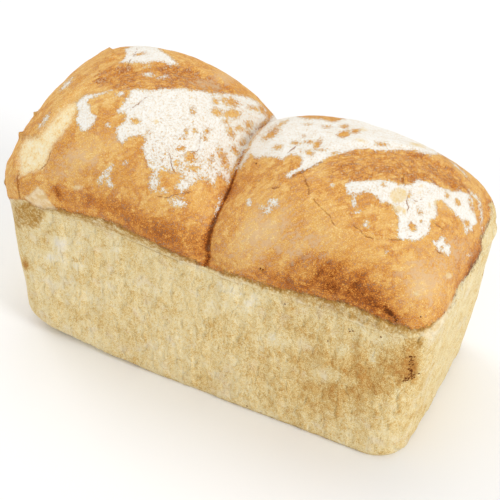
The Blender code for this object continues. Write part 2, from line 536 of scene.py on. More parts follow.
@dataclass(frozen=True)
class Outline:
    """A closed edge drawn on the photograph's frame, in pixels.

    loose_mm is how far the edge of a patch of flour breaks up.
    """

    points_px: tuple[tuple[float, float], ...]
    loose_mm: float = 0.0

    def depth(self, at_px: np.ndarray) -> np.ndarray:
        """How far inside the edge each point is.

        Args:
            at_px: rows of across and down.

        Returns:
            Pixels, below 0 outside.
        """
        corners = np.array(self.points_px)
        nearest = np.full(len(at_px), np.inf)
        inside = np.zeros(len(at_px), bool)
        for a, b in zip(corners, np.roll(corners, -1, axis=0)):
            run = b - a
            t = np.clip(((at_px - a) @ run) / (run @ run), 0.0, 1.0)
            nearest = np.minimum(nearest, np.hypot(*(at_px - a - t[:, None] * run).T))
            crosses = (a[1] > at_px[:, 1]) != (b[1] > at_px[:, 1])
            rise = np.where(b[1] == a[1], 1.0, b[1] - a[1])
            inside ^= crosses & (at_px[:, 0] < a[0] + (at_px[:, 1] - a[1]) * run[0] / rise)
        return np.where(inside, nearest, -nearest)


@dataclass(frozen=True)
class Spot:
    """An oval mark, most often on the photograph's frame in pixels.

    x and y are its centre, wide and high half its sizes, and turn is in degrees. As a soft cover
    it has a strength, and a fall that says how quickly it fades.
    """

    x: float
    y: float
    wide: float
    high: float
    turn: float = 0.0
    strength: float = 1.0
    fall: float = 1.2

    def reach(self, at_px: np.ndarray) -> np.ndarray:
        """Measures points from the centre.

        Args:
            at_px: rows of across and down.

        Returns:
            Distances, as 1 at the mark's edge.
        """
        a = math.radians(self.turn)
        u = (at_px[:, 0] - self.x) * math.cos(a) + (at_px[:, 1] - self.y) * math.sin(a)
        v = (at_px[:, 1] - self.y) * math.cos(a) - (at_px[:, 0] - self.x) * math.sin(a)
        return np.hypot(u / self.wide, v / self.high)

    def depth(self, at_px: np.ndarray) -> np.ndarray:
        """How far inside the mark each point is, in pixels."""
        return (1.0 - self.reach(at_px)) * min(self.wide, self.high)

    def cover(self, at_px: np.ndarray) -> np.ndarray:
        """A soft cover, strongest at the centre and gone at twice the mark's size."""
        return self.strength * np.exp(-self.fall * self.reach(at_px) ** 2)


@dataclass(frozen=True)
class Line:
    """An open line on the photograph's frame, in pixels."""

    points_px: tuple[tuple[float, float], ...]
    width_mm: float = 0.5

    def beside(self, at_px: np.ndarray) -> np.ndarray:
        """Measures points from the line.

        Args:
            at_px: rows of across and down.

        Returns:
            Distances in pixels, above 0 on one side and below 0 on the other.
        """
        corners = np.array(self.points_px)
        nearest = np.full(len(at_px), np.inf)
        side = np.ones(len(at_px))
        for a, b in zip(corners[:-1], corners[1:]):
            run = b - a
            off = at_px - a
            t = np.clip((off @ run) / (run @ run), 0.0, 1.0)
            distance = np.hypot(*(off - t[:, None] * run).T)
            closer = distance < nearest
            turned = np.sign(off[:, 0] * run[1] - off[:, 1] * run[0])
            side = np.where(closer, np.where(turned == 0, 1.0, turned), side)
            nearest = np.where(closer, distance, nearest)
        return nearest * side


# Golden crust, down to the ragged edge where it meets the pale sides
GOLDEN_CRUST = Outline((
    (2, 199.5), (19.5, 198.8), (24, 199), (29, 200.5), (36, 205), (43, 206.5), (50, 206), (57, 207.5),
    (64, 209.5), (77, 212.5), (86, 215), (96, 218), (110, 222), (120, 226), (134, 233), (147, 239.5),
    (156, 244), (169, 249.5), (180, 254), (196, 261), (203, 266.5), (212, 268), (223, 271),
    (237, 274.5), (250, 279), (266, 284), (277, 288),
    (290, 290), (312, 295), (328, 300.5), (343.5, 302), (352, 306), (363, 310), (371, 314),
    (382, 318.5), (393, 323), (405, 326), (413.5, 330), (421, 328.5), (430, 325), (438, 319.5),
    (443.5, 315), (447, 311), (451.5, 304.5), (454.5, 295.5), (457, 289), (459.5, 284.5),
    (463, 280.5), (469, 274), (474.5, 264), (478.5, 256), (482, 249.5), (481, 243), (481.5, 236.5),
    (485, 229.5), (486.5, 224.5), (490, 218), (491, 212), (488, 204), (520, 190), (480, 120),
    (330, 60), (120, 20), (-20, 80), (-30, 190),
))

# Flour in patches, each with how far its edge breaks up in millimetres
FLOUR_PATCHES = (
    # left dome, above its slash
    Outline((
        (138, 44), (156.5, 44), (158.5, 49.8), (165, 53), (170.5, 57.3), (173, 60.6), (180.5, 66.8),
        (175.9, 65.5), (168.3, 64.9), (163, 62.8), (151, 61.7), (145.5, 63.9), (138, 62.8),
        (131.4, 63.9), (125, 62.8), (118.5, 63.8), (125, 58.4), (126.3, 54.1), (125, 49.5),
    ), 0.25),
    # left dome, main patch
    Outline((
        (131, 90.4), (136, 89.3), (143.5, 90.1), (146.6, 91.2), (153, 91), (158.5, 89.9),
        (167, 89.3), (172, 90.4), (176, 89), (185.7, 88.8), (190, 91.5), (199, 90.5), (215, 94.2),
        (232, 94.2), (244, 96.4), (252, 98.5), (260.5, 104), (266, 109.4), (268, 118),
        (263.5, 122.4), (258.2, 131), (252.8, 137.6), (247.4, 148.4), (241, 157), (235.4, 163.6),
        (231.5, 171), (228, 184.5), (224.7, 178.8), (217, 171), (215, 186.4), (208.4, 180),
        (201, 177.7), (194.3, 182), (187, 188.5), (181.3, 192), (176, 187), (182.4, 179.5),
        (170, 173), (165, 169.5), (158.5, 170.1), (152, 171.2), (150, 168), (146.6, 160.3),
        (144.5, 152.8), (142.3, 146.8), (146.6, 140.8), (144.5, 135.4), (138, 134.9),
        (131.4, 136.5), (126, 140.8), (122.2, 143.5), (118.4, 138.7), (116.8, 133.2),
        (116.3, 127.8), (120.6, 124.6), (125.5, 121.3), (127, 116), (124.4, 112.6), (120, 113.2),
        (116.8, 111.6), (121.7, 105), (128.2, 97.5),
    ), 0.7),
    # left dome, small patch with its streak
    Outline((
        (77.5, 102), (82.4, 98), (87, 95.3), (98, 94.2), (112.8, 90.2), (108.4, 92.2), (98, 95.6),
        (92, 98.2), (88.4, 100.7), (87.3, 103), (90, 106), (91, 112.6), (96.5, 116), (95.4, 120.2),
        (92.2, 125.7), (86.7, 129.4), (83, 132.2), (79.7, 129), (78.6, 124.6), (75.4, 120.2),
        (77, 116), (78.6, 110.5), (76.4, 106),
    ), 0.25),
    Outline((
        (111, 164.5), (113, 165.5), (108.5, 175), (109.5, 181), (113.5, 184.5), (112.5, 188),
        (108, 185), (107, 179.5), (101, 180.5), (98.5, 184.5), (98, 180.5), (103, 175), (106.5, 170),
    ), 0.9),
    # right dome, above its slash
    Outline((
        (240, 168.5), (243, 164), (247, 158), (250.5, 153.5), (254.3, 157.4), (259, 158.4),
        (264, 156.4), (271.6, 157), (278.3, 157.4), (282, 160.3), (287, 157.4), (290.7, 154.5),
        (298.4, 155.5), (302.2, 159.3), (301.2, 164), (296.4, 169), (286, 174.6), (287, 179.4),
        (297.4, 172.8), (307, 169.8), (315.6, 166), (322.3, 162.2), (330, 157.4), (339.5, 155),
        (348, 151.7), (357.7, 149.3), (367.2, 149), (376.8, 151), (384, 151.8), (391, 151.2),
        (401.7, 150.6), (412.2, 150.6), (422.7, 153.5), (431.3, 156), (438, 154.5), (446, 157),
        (452, 150), (430, 136), (400, 124), (372, 115), (345, 109), (344.5, 119), (335, 122),
        (331, 121.7), (322, 119.2), (305, 118.7), (297, 117), (297, 110), (276, 112),
        (270, 119.5), (259, 131.5), (252, 141.5), (245.5, 152.5), (239.5, 164.5),
    ), 0.35),
    # right dome, below its slash
    Outline((
        (344.8, 183.7), (350, 182.5), (360, 181.7), (369, 181.2), (378.7, 179.8), (388.3, 181.2),
        (394, 182.7), (397, 185), (407.4, 185), (414, 183.6), (416, 179.8), (421, 180.3),
        (426.5, 182.2), (433.2, 183.1), (437, 187), (443.8, 189), (451.4, 191.7), (460, 191.3),
        (468.6, 194), (472.5, 199.4), (472.5, 206), (475.3, 215.7), (477.2, 223.3), (472.5, 226.2),
        (472.5, 231), (468.6, 230), (466.2, 234.8), (463.8, 230), (462, 221.4), (457, 216.6),
        (453.3, 211.8), (445.7, 204.2), (441, 200.4), (436, 202.3), (437, 215.7), (436, 218),
        (430.4, 219.5), (429, 226.2), (429.4, 231), (426.5, 234.8), (421, 238.6), (415, 241.5),
        (409.3, 239.6), (403.6, 240.5), (397, 236.7), (397.8, 230), (398.8, 221.4), (397, 213.8),
        (393, 207), (386, 203), (381.6, 203.5), (378.7, 199.4), (374, 195.6), (368.2, 190.8),
        (362.4, 192.7), (355.7, 195.6), (352, 192.5), (353.8, 196.6), (348, 194.7), (345.2, 188),
    ), 0.35),
    Outline((
        (441.8, 235.8), (444.7, 237.7), (444.2, 243.4), (449.5, 245.3), (450.5, 250),
        (448.5, 256.8), (444.7, 253), (440, 251), (436, 247.2), (432.3, 243), (433.2, 241),
        (438, 241.5),
    ), 0.5),
    Outline(((361.5, 225.7), (367.7, 219), (368.2, 224.3), (369.2, 228.2), (365, 226.4)), 0.15),
)

# Flour over the back, in millimetres along and across the loaf
BACK_FLOUR = (Spot(-62, 22, 40, 17), Spot(46, 24, 56, 18), Spot(-30, 34, 12, 8))

# Flour in small dabs and streaks
FLOUR_DABS = (
    Spot(354, 203, 2.2, 3.8, -15), Spot(249, 202, 2.6, 3.3), Spot(273.5, 202.5, 4.2, 3.2, -30),
    Spot(267, 211.5, 4, 2.2, -30), Spot(261, 207, 1.6, 1.1), Spot(332.4, 185, 2, 1.2),
    Spot(386.4, 252.5, 1.5, 1.5), Spot(468.6, 255.4, 1.4, 1), Spot(479.6, 204.2, 1.1, 5, -8),
    Spot(481.3, 217.6, 0.9, 6.5), Spot(474.4, 196, 1.4, 5, -40), Spot(456, 166.5, 6, 0.9, 42),
    Spot(463.5, 173, 3.5, 0.8, 42), Spot(66, 84.5, 7, 1.5, -48), Spot(47, 119.5, 4.5, 1.6, -55),
    Spot(41, 126.5, 2.5, 1.2, -55), Spot(36.5, 111.5, 1.6, 1.2), Spot(119.5, 94.5, 4, 1.6, -20),
    Spot(108, 124.8, 2.4, 1.6), Spot(125, 162.5, 1, 1), Spot(154.8, 181, 4.6, 8, 10),
    Spot(163.5, 190, 2.8, 2.6), Spot(177.5, 202.5, 7.5, 4, 10), Spot(148.5, 66.8, 3.4, 1.3),
    Spot(148, 74, 4.6, 1.5), Spot(165, 77.3, 3.2, 1), Spot(217.4, 207, 1.7, 6.5, 20),
    Spot(357, 212.2, 2.6, 0.7), Spot(238.5, 166, 1.4, 4, 30),
)

# Crust that shows through the flour
BARE_SPOTS = (
    Spot(173.7, 175.5, 10, 5, 5), Spot(190.5, 157.6, 6, 5.5), Spot(177, 163.6, 3.4, 3),
    Spot(193.2, 168, 6, 3.6), Spot(211.7, 158.7, 2.8, 3.8), Spot(223.6, 159.3, 3.6, 10.5, -20),
    Spot(235.5, 150.6, 2.6, 5, -35), Spot(217.6, 112.1, 6, 3.2, 10), Spot(231.7, 114.3, 8, 4.5, 5),
    Spot(215.5, 101.3, 2.8, 2.8), Spot(230.1, 101.8, 8.5, 3.4, 15), Spot(253.4, 108.3, 5, 1.6, 18),
    Spot(262.6, 109.4, 2.2, 5, -35), Spot(248.5, 124.6, 3.8, 3), Spot(239.9, 128.4, 4.6, 1.9),
    Spot(230.6, 133.2, 2.6, 5, -20), Spot(248, 132.2, 1.4, 3.4, -30), Spot(242.6, 143, 3.2, 2.4),
    Spot(135.8, 120.8, 4.3, 2.8), Spot(193, 111.6, 2.2, 3.5), Spot(206.8, 131.3, 2.7, 2),
    Spot(204.4, 138.1, 2, 2.8, -20), Spot(181.9, 137.9, 3, 1.4, -20), Spot(186.2, 132.2, 1.3, 3),
    Spot(194.3, 131.1, 2, 1.8), Spot(181.1, 148.4, 3, 2.4), Spot(226, 122, 3, 2),
    Spot(140.5, 53.9, 4, 1.2, -10), Spot(149.2, 133, 1.6, 2.4), Spot(271.6, 134.2, 8.5, 3.4, -32),
    Spot(281.1, 124.4, 5.5, 1.4, -25), Spot(295, 143, 3.7, 1.5), Spot(278.3, 147.4, 4, 2.1, -15),
    Spot(317.7, 144.7, 2.6, 6, 35), Spot(309.4, 142.8, 3.4, 1.2), Spot(309.8, 153.6, 4, 2.4, 25),
    Spot(300.7, 150.7, 1, 1), Spot(322.3, 150, 2, 1), Spot(335.2, 153.1, 2.6, 1, -15),
    Spot(344.3, 134, 6, 3.4, -15), Spot(355.8, 131.6, 4, 2), Spot(344.7, 126.4, 3, 1.2),
    Spot(326.6, 126.9, 2.5, 0.9), Spot(307.7, 124.3, 1.8, 0.7), Spot(303.6, 136.2, 1.2, 1),
    Spot(381.6, 144.4, 4.4, 1.8, 5), Spot(383.5, 185, 2.1, 1.4), Spot(408.4, 196.1, 1.4, 2.4),
    Spot(420.1, 211.7, 1.5, 3, -30), Spot(412.2, 226.7, 3.4, 4.8, -30), Spot(421.3, 221.9, 1.2, 1.1),
    Spot(447, 195.8, 1.5, 2.2, -30), Spot(456.7, 202.3, 1.9, 3.4, -25),
    Spot(466.5, 223.8, 2.2, 3.8, -25), Spot(470.5, 206, 1.2, 5, -20), Spot(469.5, 199.9, 1, 1),
    Spot(441.8, 248.2, 1.6, 2),
)

# Flour so thin that pale gold shows through it
THIN_FLOUR = (
    Spot(397.8, 195.6, 8.6, 7.6), Spot(388, 206.5, 8, 3.6, 12), Spot(404.5, 211.8, 2, 2.9),
    Spot(420.3, 187, 2, 1.4), Spot(419, 193, 1.5, 0.8), Spot(429.2, 204.7, 1.3, 2.6, -15),
    Spot(436, 203, 2.4, 4), Spot(416, 145.8, 8, 2.2, 15), Spot(435, 151.2, 3.4, 1.2, 15),
    Spot(363.4, 130.1, 4, 1.8), Spot(360.5, 140.7, 5, 1.3, 15), Spot(156.6, 121.6, 2.4, 2.2),
    Spot(191.5, 98, 1.8, 1), Spot(150, 112, 1.2, 1), Spot(398, 209, 4, 4), Spot(447, 210, 5, 3, 40),
)

# Where the flour's edge breaks into specks
SPECKLED = (
    Spot(165, 158, 26, 14, 20, 1.8), Spot(200, 170, 34, 16, -10, 2.2), Spot(225, 104, 16, 10, 10, 1.6),
    Spot(245, 125, 16, 18, 0, 1.2), Spot(155, 181, 8, 12, 0, 1.8), Spot(178, 198, 14, 9, 0, 1.8),
    Spot(270, 205, 12, 10, 0, 1.2), Spot(267, 130, 12, 10, 0, 0.8), Spot(357, 192, 10, 6, 0, 1.2),
    Spot(440, 188, 10, 6, 0, 1.2), Spot(402, 200, 36, 22, 10, 0.7), Spot(190, 125, 50, 40, 0, 0.35),
    Spot(106, 177, 10, 12, 0, 1.2), Spot(310, 148, 16, 8, 0, 0.5),
)

# Torn crust in the two slashes
SLASH_BANDS = (
    Outline((
        (92, 80), (97.6, 72.5), (108, 68), (121.7, 68), (145.5, 66.5), (176, 67), (186.7, 68.2),
        (197.6, 72.5), (208.4, 75.8), (219.3, 81.2), (230, 87.7), (236, 93), (226, 93.5),
        (215, 93), (193.2, 89.9), (165, 88.5), (143, 89.5), (114, 90), (100, 90),
    )),
    Outline((
        (318, 168), (330, 160), (348, 154), (365, 151.5), (385, 153), (405, 152.5), (423, 155),
        (436, 160), (452, 170), (466, 184), (470, 192), (460, 190.5), (450, 190), (437, 185.5),
        (426, 181), (412, 183), (396, 183), (380, 179), (360, 180.5), (345, 182), (330, 178),
    )),
)

# Crumb laid bare where the crust tore at the left end
PALE_CRUMB = Outline((
    (78.5, 101), (75.5, 113), (72, 122), (64, 134), (57.5, 141), (53.5, 147), (50.3, 155),
    (47.5, 163), (43.5, 168.5), (38.5, 171), (30, 174.5), (24.5, 176.5), (19.5, 176.5),
    (17.8, 165), (17.2, 153), (20.5, 145), (26, 137.5), (38, 135.5), (44, 128), (53, 117.5),
    (61, 108.5), (69, 103),
))

# Broad bakes of the golden crust, and painted shade along the cleft: above 0 darker, below 0 paler
BAKES_AND_SHADE = (
    Spot(350, 293, 58, 18, 19, 0.29), Spot(386, 312, 18, 7, 25, 0.20), Spot(331, 288, 9, 6, 0, 0.16),
    Spot(374, 297, 16, 10, 25, 0.07), Spot(345, 268, 46, 15, 15, 0.12),
    Spot(300, 262, 40, 15, 15, 0.08), Spot(471, 268, 5, 16, 30, 0.14), Spot(481, 245, 4, 12, 10, 0.10),
    Spot(60, 198, 10, 6, 20, 0.14), Spot(140, 226, 30, 8, 25, 0.10), Spot(318, 275, 24, 4, -48, 0.14),
    Spot(338, 268, 24, 4, -50, 0.15), Spot(300, 260, 22, 3.5, -45, 0.11),
    Spot(357, 282, 18, 4, -50, 0.12), Spot(263, 250, 28, 5, -40, -0.15),
    Spot(286, 258, 26, 4, -43, -0.13), Spot(272, 222, 34, 5, -40, -0.10),
    Spot(326, 258, 24, 3, -48, -0.10), Spot(346, 286, 14, 3, -48, -0.08),
    Spot(263, 271, 8, 4, -20, 0.16), Spot(391, 313, 10, 5, 42, 0.06), Spot(95, 198, 28, 12, 20, 0.14),
    Spot(240, 222, 18, 3.5, -52, 0.12), Spot(280, 238, 30, 4, -40, 0.08),
    Spot(378, 262, 22, 5, -30, 0.08), Spot(400, 290, 16, 5, -35, 0.12), Spot(280, 280, 36, 7, 16, 0.20),
    Spot(428, 288, 18, 16, 0, -0.16), Spot(415, 264, 18, 12, 0, -0.04),
    # Its last two spots, and the second spot on the next line, are painted shade along the cleft
    Spot(172, 238, 42, 17, 22, 0.20), Spot(198, 238, 12, 24, 0, 0.14), Spot(211, 228, 5, 26, 18, 0.25),
    Spot(120, 212, 40, 12, 15, 0.18), Spot(230, 190, 4, 16, 25, 0.2), Spot(60, 150, 12, 12, 0, 0.06),
    Spot(95, 150, 26, 18, 0, -0.04), Spot(70, 92, 26, 8, -40, -0.05), Spot(95, 100, 26, 12, 0, -0.08),
    Spot(205, 83, 26, 8, 12, 0.10), Spot(370, 166, 30, 9, 0, 0.03), Spot(478, 262, 10, 14, 20, 0.16),
    Spot(470, 280, 10, 10, 0, 0.12), Spot(462, 300, 8, 14, 20, 0.10), Spot(455, 254, 28, 38, 20, 0.11),
    Spot(300, 168, 10, 8, -30, 0.10), Spot(250, 235, 20, 20, 0, -0.08),
    Spot(275, 215, 26, 14, -35, -0.02), Spot(245, 180, 22, 12, 0, 0.04), Spot(58, 190, 4, 7, -25, 0.3),
)

# Broad bakes of the pale sides, with a few spots of painted shadow and painted light
SIDE_BAKES_LIGHT_AND_SHADE = (
    Spot(360, 378, 48, 34, 0, 0.39), Spot(300, 396, 66, 14, 20, 0.16), Spot(300, 345, 44, 50, 0, 0.15),
    # Its second spot is painted shade in the left corner, under the crust's overhang
    Spot(250, 345, 30, 40, 0, 0.06), Spot(30, 215, 12, 14, 0, 0.30), Spot(60.5, 243, 9, 6, 40, -0.50),
    Spot(51, 257, 6, 4, 0, -0.45), Spot(64, 260, 3, 4, 0, -0.2), Spot(117, 250, 5, 4, 0, -0.40),
    # These two pale spots are painted light on the right end
    Spot(448, 350, 26, 60, 25, -0.05), Spot(472, 270, 12, 40, 20, -0.05),
    Spot(274, 339, 12, 7, 10, -0.26), Spot(301, 345.5, 12, 7, 10, -0.26),
    Spot(374, 357, 5, 7, 20, -0.34), Spot(319, 374.5, 18, 8, 0, -0.26),
    Spot(350, 381, 14, 6, 25, -0.26), Spot(250, 302, 14, 5, -40, -0.34), Spot(343, 351, 8, 7, 0, -0.26),
    Spot(234, 291, 6, 7, -30, -0.30), Spot(78.7, 265, 7, 4, 20, -0.38), Spot(25, 264, 3, 5, -30, 0.6),
    Spot(75.8, 260, 4, 1.6, 0, 0.35), Spot(48, 232, 2, 2, 0, 0.3), Spot(56.7, 232, 2, 2, 0, 0.3),
    # Its second spot is a painted shadow just under the lip
    Spot(43.5, 241, 3, 2, 30, 0.3), Spot(30.8, 203.7, 4, 2, 0, 0.4), Spot(408, 360, 20, 34, 5, 0.20),
    Spot(412, 371, 6, 14, 5, 0.36),
)

# Hair cracks, and two painted shadow lines beside flakes, each with its width in millimetres
CRACKS_AND_SHADOW_LINES = (
    Line(((306, 181.3), (308, 187), (309.4, 193.3)), 1.1),
    Line(((309.4, 193.3), (313.7, 199.5), (324.2, 211), (330, 215.8), (331.8, 221.5),
          (335.7, 226.3)), 0.45),
    Line(((354.8, 226.3), (360.5, 230.6), (363.4, 235.4), (372, 238.2), (381.6, 240.6), (384.5, 238.2),
          (391, 239.6), (402.6, 239.8), (407.4, 237.2), (412.2, 236.2)), 0.5),
    Line(((431.3, 220.5), (436, 224.3), (442.8, 229.1)), 0.4),
    Line(((158.5, 196.3), (168.8, 197.9), (172, 195.2), (184, 193), (190.5, 191.9)), 0.45),
    Line(((255.3, 181.8), (264, 180.4)), 0.5), Line(((272.5, 187.5), (278.3, 186.6)), 0.8),
    Line(((136.9, 50.3), (133.6, 56.3), (130.4, 60.6), (128.7, 65)), 0.45),
    Line(((200.3, 134.3), (199.2, 148.4), (197.6, 151.7), (192.2, 151.2)), 0.55),
    Line(((169.9, 155), (171.6, 164.7), (173.7, 171.2)), 0.4),
    Line(((127.5, 109), (133.6, 107.2), (141.7, 101.6), (145, 99)), 0.6),
    Line(((286.9, 153.6), (291, 150), (295, 147)), 0.45),
    Line(((403.6, 177), (403.6, 184.3)), 0.8),
    Line(((407.4, 198.4), (406.4, 203.2), (409, 207), (407.4, 211))),
    Line(((412.2, 199.4), (416, 201.3), (421, 199.4)), 0.35),
    # This line and the next are painted shadow lines beside the edges of flakes
    Line(((50.5, 150), (49.5, 157), (46.5, 164), (42, 169)), 0.5),
    Line(((19, 172), (19.2, 185), (20.3, 197)), 0.45),
    Line(((290, 178.5), (300, 173), (315, 166), (325, 161)), 0.6),
    Line(((432, 246.5), (437, 250.5), (443, 254.5)), 0.5),
)


@dataclass(frozen=True)
class Ledge:
    """The raised, broken edge of a flake: raised on its line's left as the line runs."""

    line: Line
    height_mm: float
    reach_mm: float
    edge_mm: float = 0.35
    overrun: float = 0.05
    fade: float = 0.15

    def relief(self, at_px: np.ndarray, px_per_mm: float) -> np.ndarray:
        """Height of the flake, steep at its edge and sinking away from it.

        Args:
            at_px: rows of across and down.
            px_per_mm: the photograph's scale.

        Returns:
            Millimetres above the crust.
        """
        beside = self.line.beside(at_px) / px_per_mm
        start, end = np.array((self.line.points_px[0], self.line.points_px[-1]))
        along = (at_px - start) @ (end - start) / ((end - start) @ (end - start))
        taper = hump(along, -self.overrun, self.fade, 1.0 - self.fade, 1.0 + self.overrun)
        step = smooth_step(beside, -self.edge_mm, self.edge_mm)
        return self.height_mm * step * np.exp(-np.maximum(beside, 0.0) / self.reach_mm) * taper


# Flakes, lips and folds that stand out, each with its height and its reach in millimetres
LEDGES = (
    Ledge(Line(((18, 199), (25, 199.5), (30, 201.5), (36.5, 205.6), (43.3, 207.7), (50, 208), (58, 210.5),
                (66, 213.5), (76, 216), (88, 220))), 1.2, 5.0),
    Ledge(Line(((20, 200), (19.6, 185), (19, 172), (17.5, 156))), 1.1, 9.0),
    Ledge(Line(((13, 199), (12.6, 185), (12.5, 170))), 0.5, 3.0),
    Ledge(Line(((24, 137), (38, 135.5), (44, 128), (53, 117.5), (61, 108.5), (72, 99))), 0.9, 6.0),
    Ledge(Line(((41.5, 170), (47, 164.5), (50, 157), (51, 148))), 0.6, 2.0),
    Ledge(Line(((38, 116), (34, 110), (42, 101))), 2.0, 4.0),
    Ledge(Line(((27, 137), (19, 131), (24, 123))), 1.9, 4.0),
    Ledge(Line(((117, 57), (112, 52), (109, 46))), 1.6, 6.0),
    Ledge(Line(((335.7, 226.3), (331.8, 221.5), (330, 215.8), (324, 211), (313.7, 199.5), (309.4, 193.3),
                (306, 181.3))), 0.35, 4.0),
    Ledge(Line(((97, 73), (119, 66.5), (145, 66), (176, 67), (198, 73), (219, 81.5),
                (232, 88))), 0.7, 5.0),
    Ledge(Line(((232, 94), (215, 93.3), (193, 90), (165, 89.5), (143, 90.3), (114, 90.5),
                (97, 92))), 0.6, 4.0),
    Ledge(Line(((270, 190), (290, 178), (305, 170), (330, 160), (345, 156), (365, 151.5), (400, 152.5),
                (430, 158), (450, 168), (468, 184))), 0.8, 5.0),
    Ledge(Line(((466, 193), (450, 190.5), (437, 186), (426, 181.5), (412, 184), (396, 184), (380, 180),
                (360, 181.5), (343, 184))), 0.7, 4.0),
    Ledge(Line(((54, 187), (57.5, 190), (61, 195), (66, 199))), 0.7, 3.0),
    Ledge(Line(((72, 200), (76, 205), (81, 211.5))), 0.5, 3.0),
    Ledge(Line(((66, 232.4), (72, 242), (76, 248))), 0.6, 4.0),
    Ledge(Line(((73.9, 280), (82, 284), (91, 289))), 0.6, 5.0),
    Ledge(Line(((204, 300), (196, 284), (190, 268))), 0.7, 5.0),
    Ledge(Line(((247, 290), (240, 282), (229, 275))), 0.7, 5.0),
    Ledge(Line(((193, 388), (193, 365), (192, 345), (191.5, 322))), 0.9, 3.5),
    Ledge(Line(((205, 305), (190, 303), (175, 307), (158, 313))), 0.7, 4.0),
    Ledge(Line(((310, 372), (326, 366), (345, 380), (362, 388))), 0.6, 5.0),
    Ledge(Line(((140, 300), (118, 292), (104, 297))), 0.6, 5.0),
    Ledge(Line(((419.6, 296), (422, 288), (424.7, 281))), 0.4, 3.0),
)

# Painted shade: olive-brown places where the crust tucks under
OLIVE_SHADE_PLACES = (
    Outline(((13, 201), (43, 208), (43.3, 216), (38.5, 227.6), (17.4, 228.6), (13.6, 218))),
    Spot(416, 343, 9, 5), Spot(24.4, 214.2, 3, 4), Spot(108, 219.5, 4, 2.5),
    Spot(92, 219, 6, 1.5, 18), Spot(52, 209, 6, 1.2, 10),
)

# Where the painted highlight on the rim's ridge, and the painted shadow below it, are strongest
RIDGE_HIGHLIGHT_PLACES = (
    Spot(104, 227.5, 9, 4, 25), Spot(134, 240, 10, 4, 25), Spot(152, 249.5, 12, 4, 25),
    Spot(172, 257, 9, 3, 22), Spot(228, 278, 8, 4, 15, 0.5), Spot(330, 312, 8, 4, 22, 0.35),
    Spot(360, 322, 9, 4, 22, 0.35), Spot(300, 301, 6, 4, 20, 0.25), Spot(272, 290, 6, 4, 18, 0.25),
)

# Lips and streaks of paler crust; along the left lip's edge the pale is partly a painted highlight
PALE_CRUST_AND_LIP_HIGHLIGHT = (
    Outline(((24, 196.5), (30, 194), (38, 186), (44, 190), (49, 199), (58, 208), (50, 207.5), (43, 207),
             (36, 204.5), (29, 199.5))),
    Outline(((418, 333), (424, 330.5), (431, 326.5), (438, 321), (445, 313), (450, 300), (452, 305),
             (446, 319), (438, 332), (430, 339), (424, 337))),
    Spot(78, 187.4, 5, 2.5), Spot(448.7, 275.7, 3.4, 3.4), Spot(416.5, 293.3, 3.5, 2.5),
)

# Burnt crumbs baked on to the crust
BURNT_CRUMBS = (
    Spot(285, 304, 0.8, 0.8), Spot(310, 306, 0.6, 0.6), Spot(349, 329, 0.7, 0.7),
    Spot(353, 331, 0.8, 0.8), Spot(328, 341, 0.7, 0.7), Spot(381, 337, 0.9, 0.9),
    Spot(203, 392, 0.6, 0.6), Spot(256.1, 163.6, 0.8, 0.8), Spot(444.4, 312.4, 0.7, 0.7),
    Spot(420.8, 316.8, 0.7, 0.7), Spot(247, 406, 1, 0.7),
)

# Close groups of burnt crumbs: where each lies, and how many crumbs it has
CRUMB_GROUPS = (
    (Spot(411, 362, 3.2, 9, 5), 34), (Spot(412, 374, 5, 5), 44),
    (Spot(405.5, 380.5, 3.2, 1.6, -20), 14), (Spot(388.5, 311, 6.5, 3.2, 42), 30),
    (Spot(396, 320, 5, 2.4, 55), 20), (Spot(263, 270, 4, 1.5, -20), 6), (Spot(350, 330, 3, 3), 5),
)

# A thin beige veil of dusty dough over the gold
DUSTY_PLACES = (
    Spot(265, 232, 40, 24, -35, 0.9), Spot(310, 245, 30, 16, -30, 0.7), Spot(425, 280, 24, 26, 0, 1.0),
    Spot(455, 250, 16, 20, 0, 0.7), Spot(80, 158, 26, 14, -15, 0.8), Spot(112, 140, 18, 10, 0, 0.4),
    Spot(205, 84, 20, 7, 15, 0.9), Spot(205, 215, 8, 20, 20, 0.3), Spot(225, 78, 14, 6, 20, 0.8),
    Spot(440, 205, 12, 12, 0, 0.5), Spot(60, 175, 16, 8, 0, 0.5), Spot(318, 172, 14, 8, -25, 0.5),
    Spot(120, 215, 20, 8, 20, 0.3),
)


class Mark(Enum):
    """Names of the mesh attributes that carry the marks to the materials."""

    RISE = "rise_mm"
    # Painted highlight on the rim's ridge, with a painted shadow below it
    RIDGE_HIGHLIGHT_AND_SHADOW = "ridge"
    # Painted shade where the crust tucks under
    OLIVE_SHADE = "olive_shade"
    # Paler crust, along the left lip's edge partly a painted highlight
    PALE = "pale_mm"
    GOLDEN = "golden_mm"
    FLOUR = "flour_mm"
    LOOSE = "flour_loose_mm"
    THIN = "flour_thin_mm"
    SLASH = "slash_mm"
    CRUMB = "crumb_mm"
    # Bakes of the golden crust, with painted shade along the cleft
    BAKE = "bake"
    # Bakes of the sides, with a few spots of painted shadow and painted light
    SIDE_BAKE_LIGHT_AND_SHADE = "side_bake"
    CRACK = "crack_widths"
    CRACK_NEAR = "crack_near"
    # Painted shade along the cleft between the domes
    CLEFT_SHADE = "cleft"
    DUST = "dust"


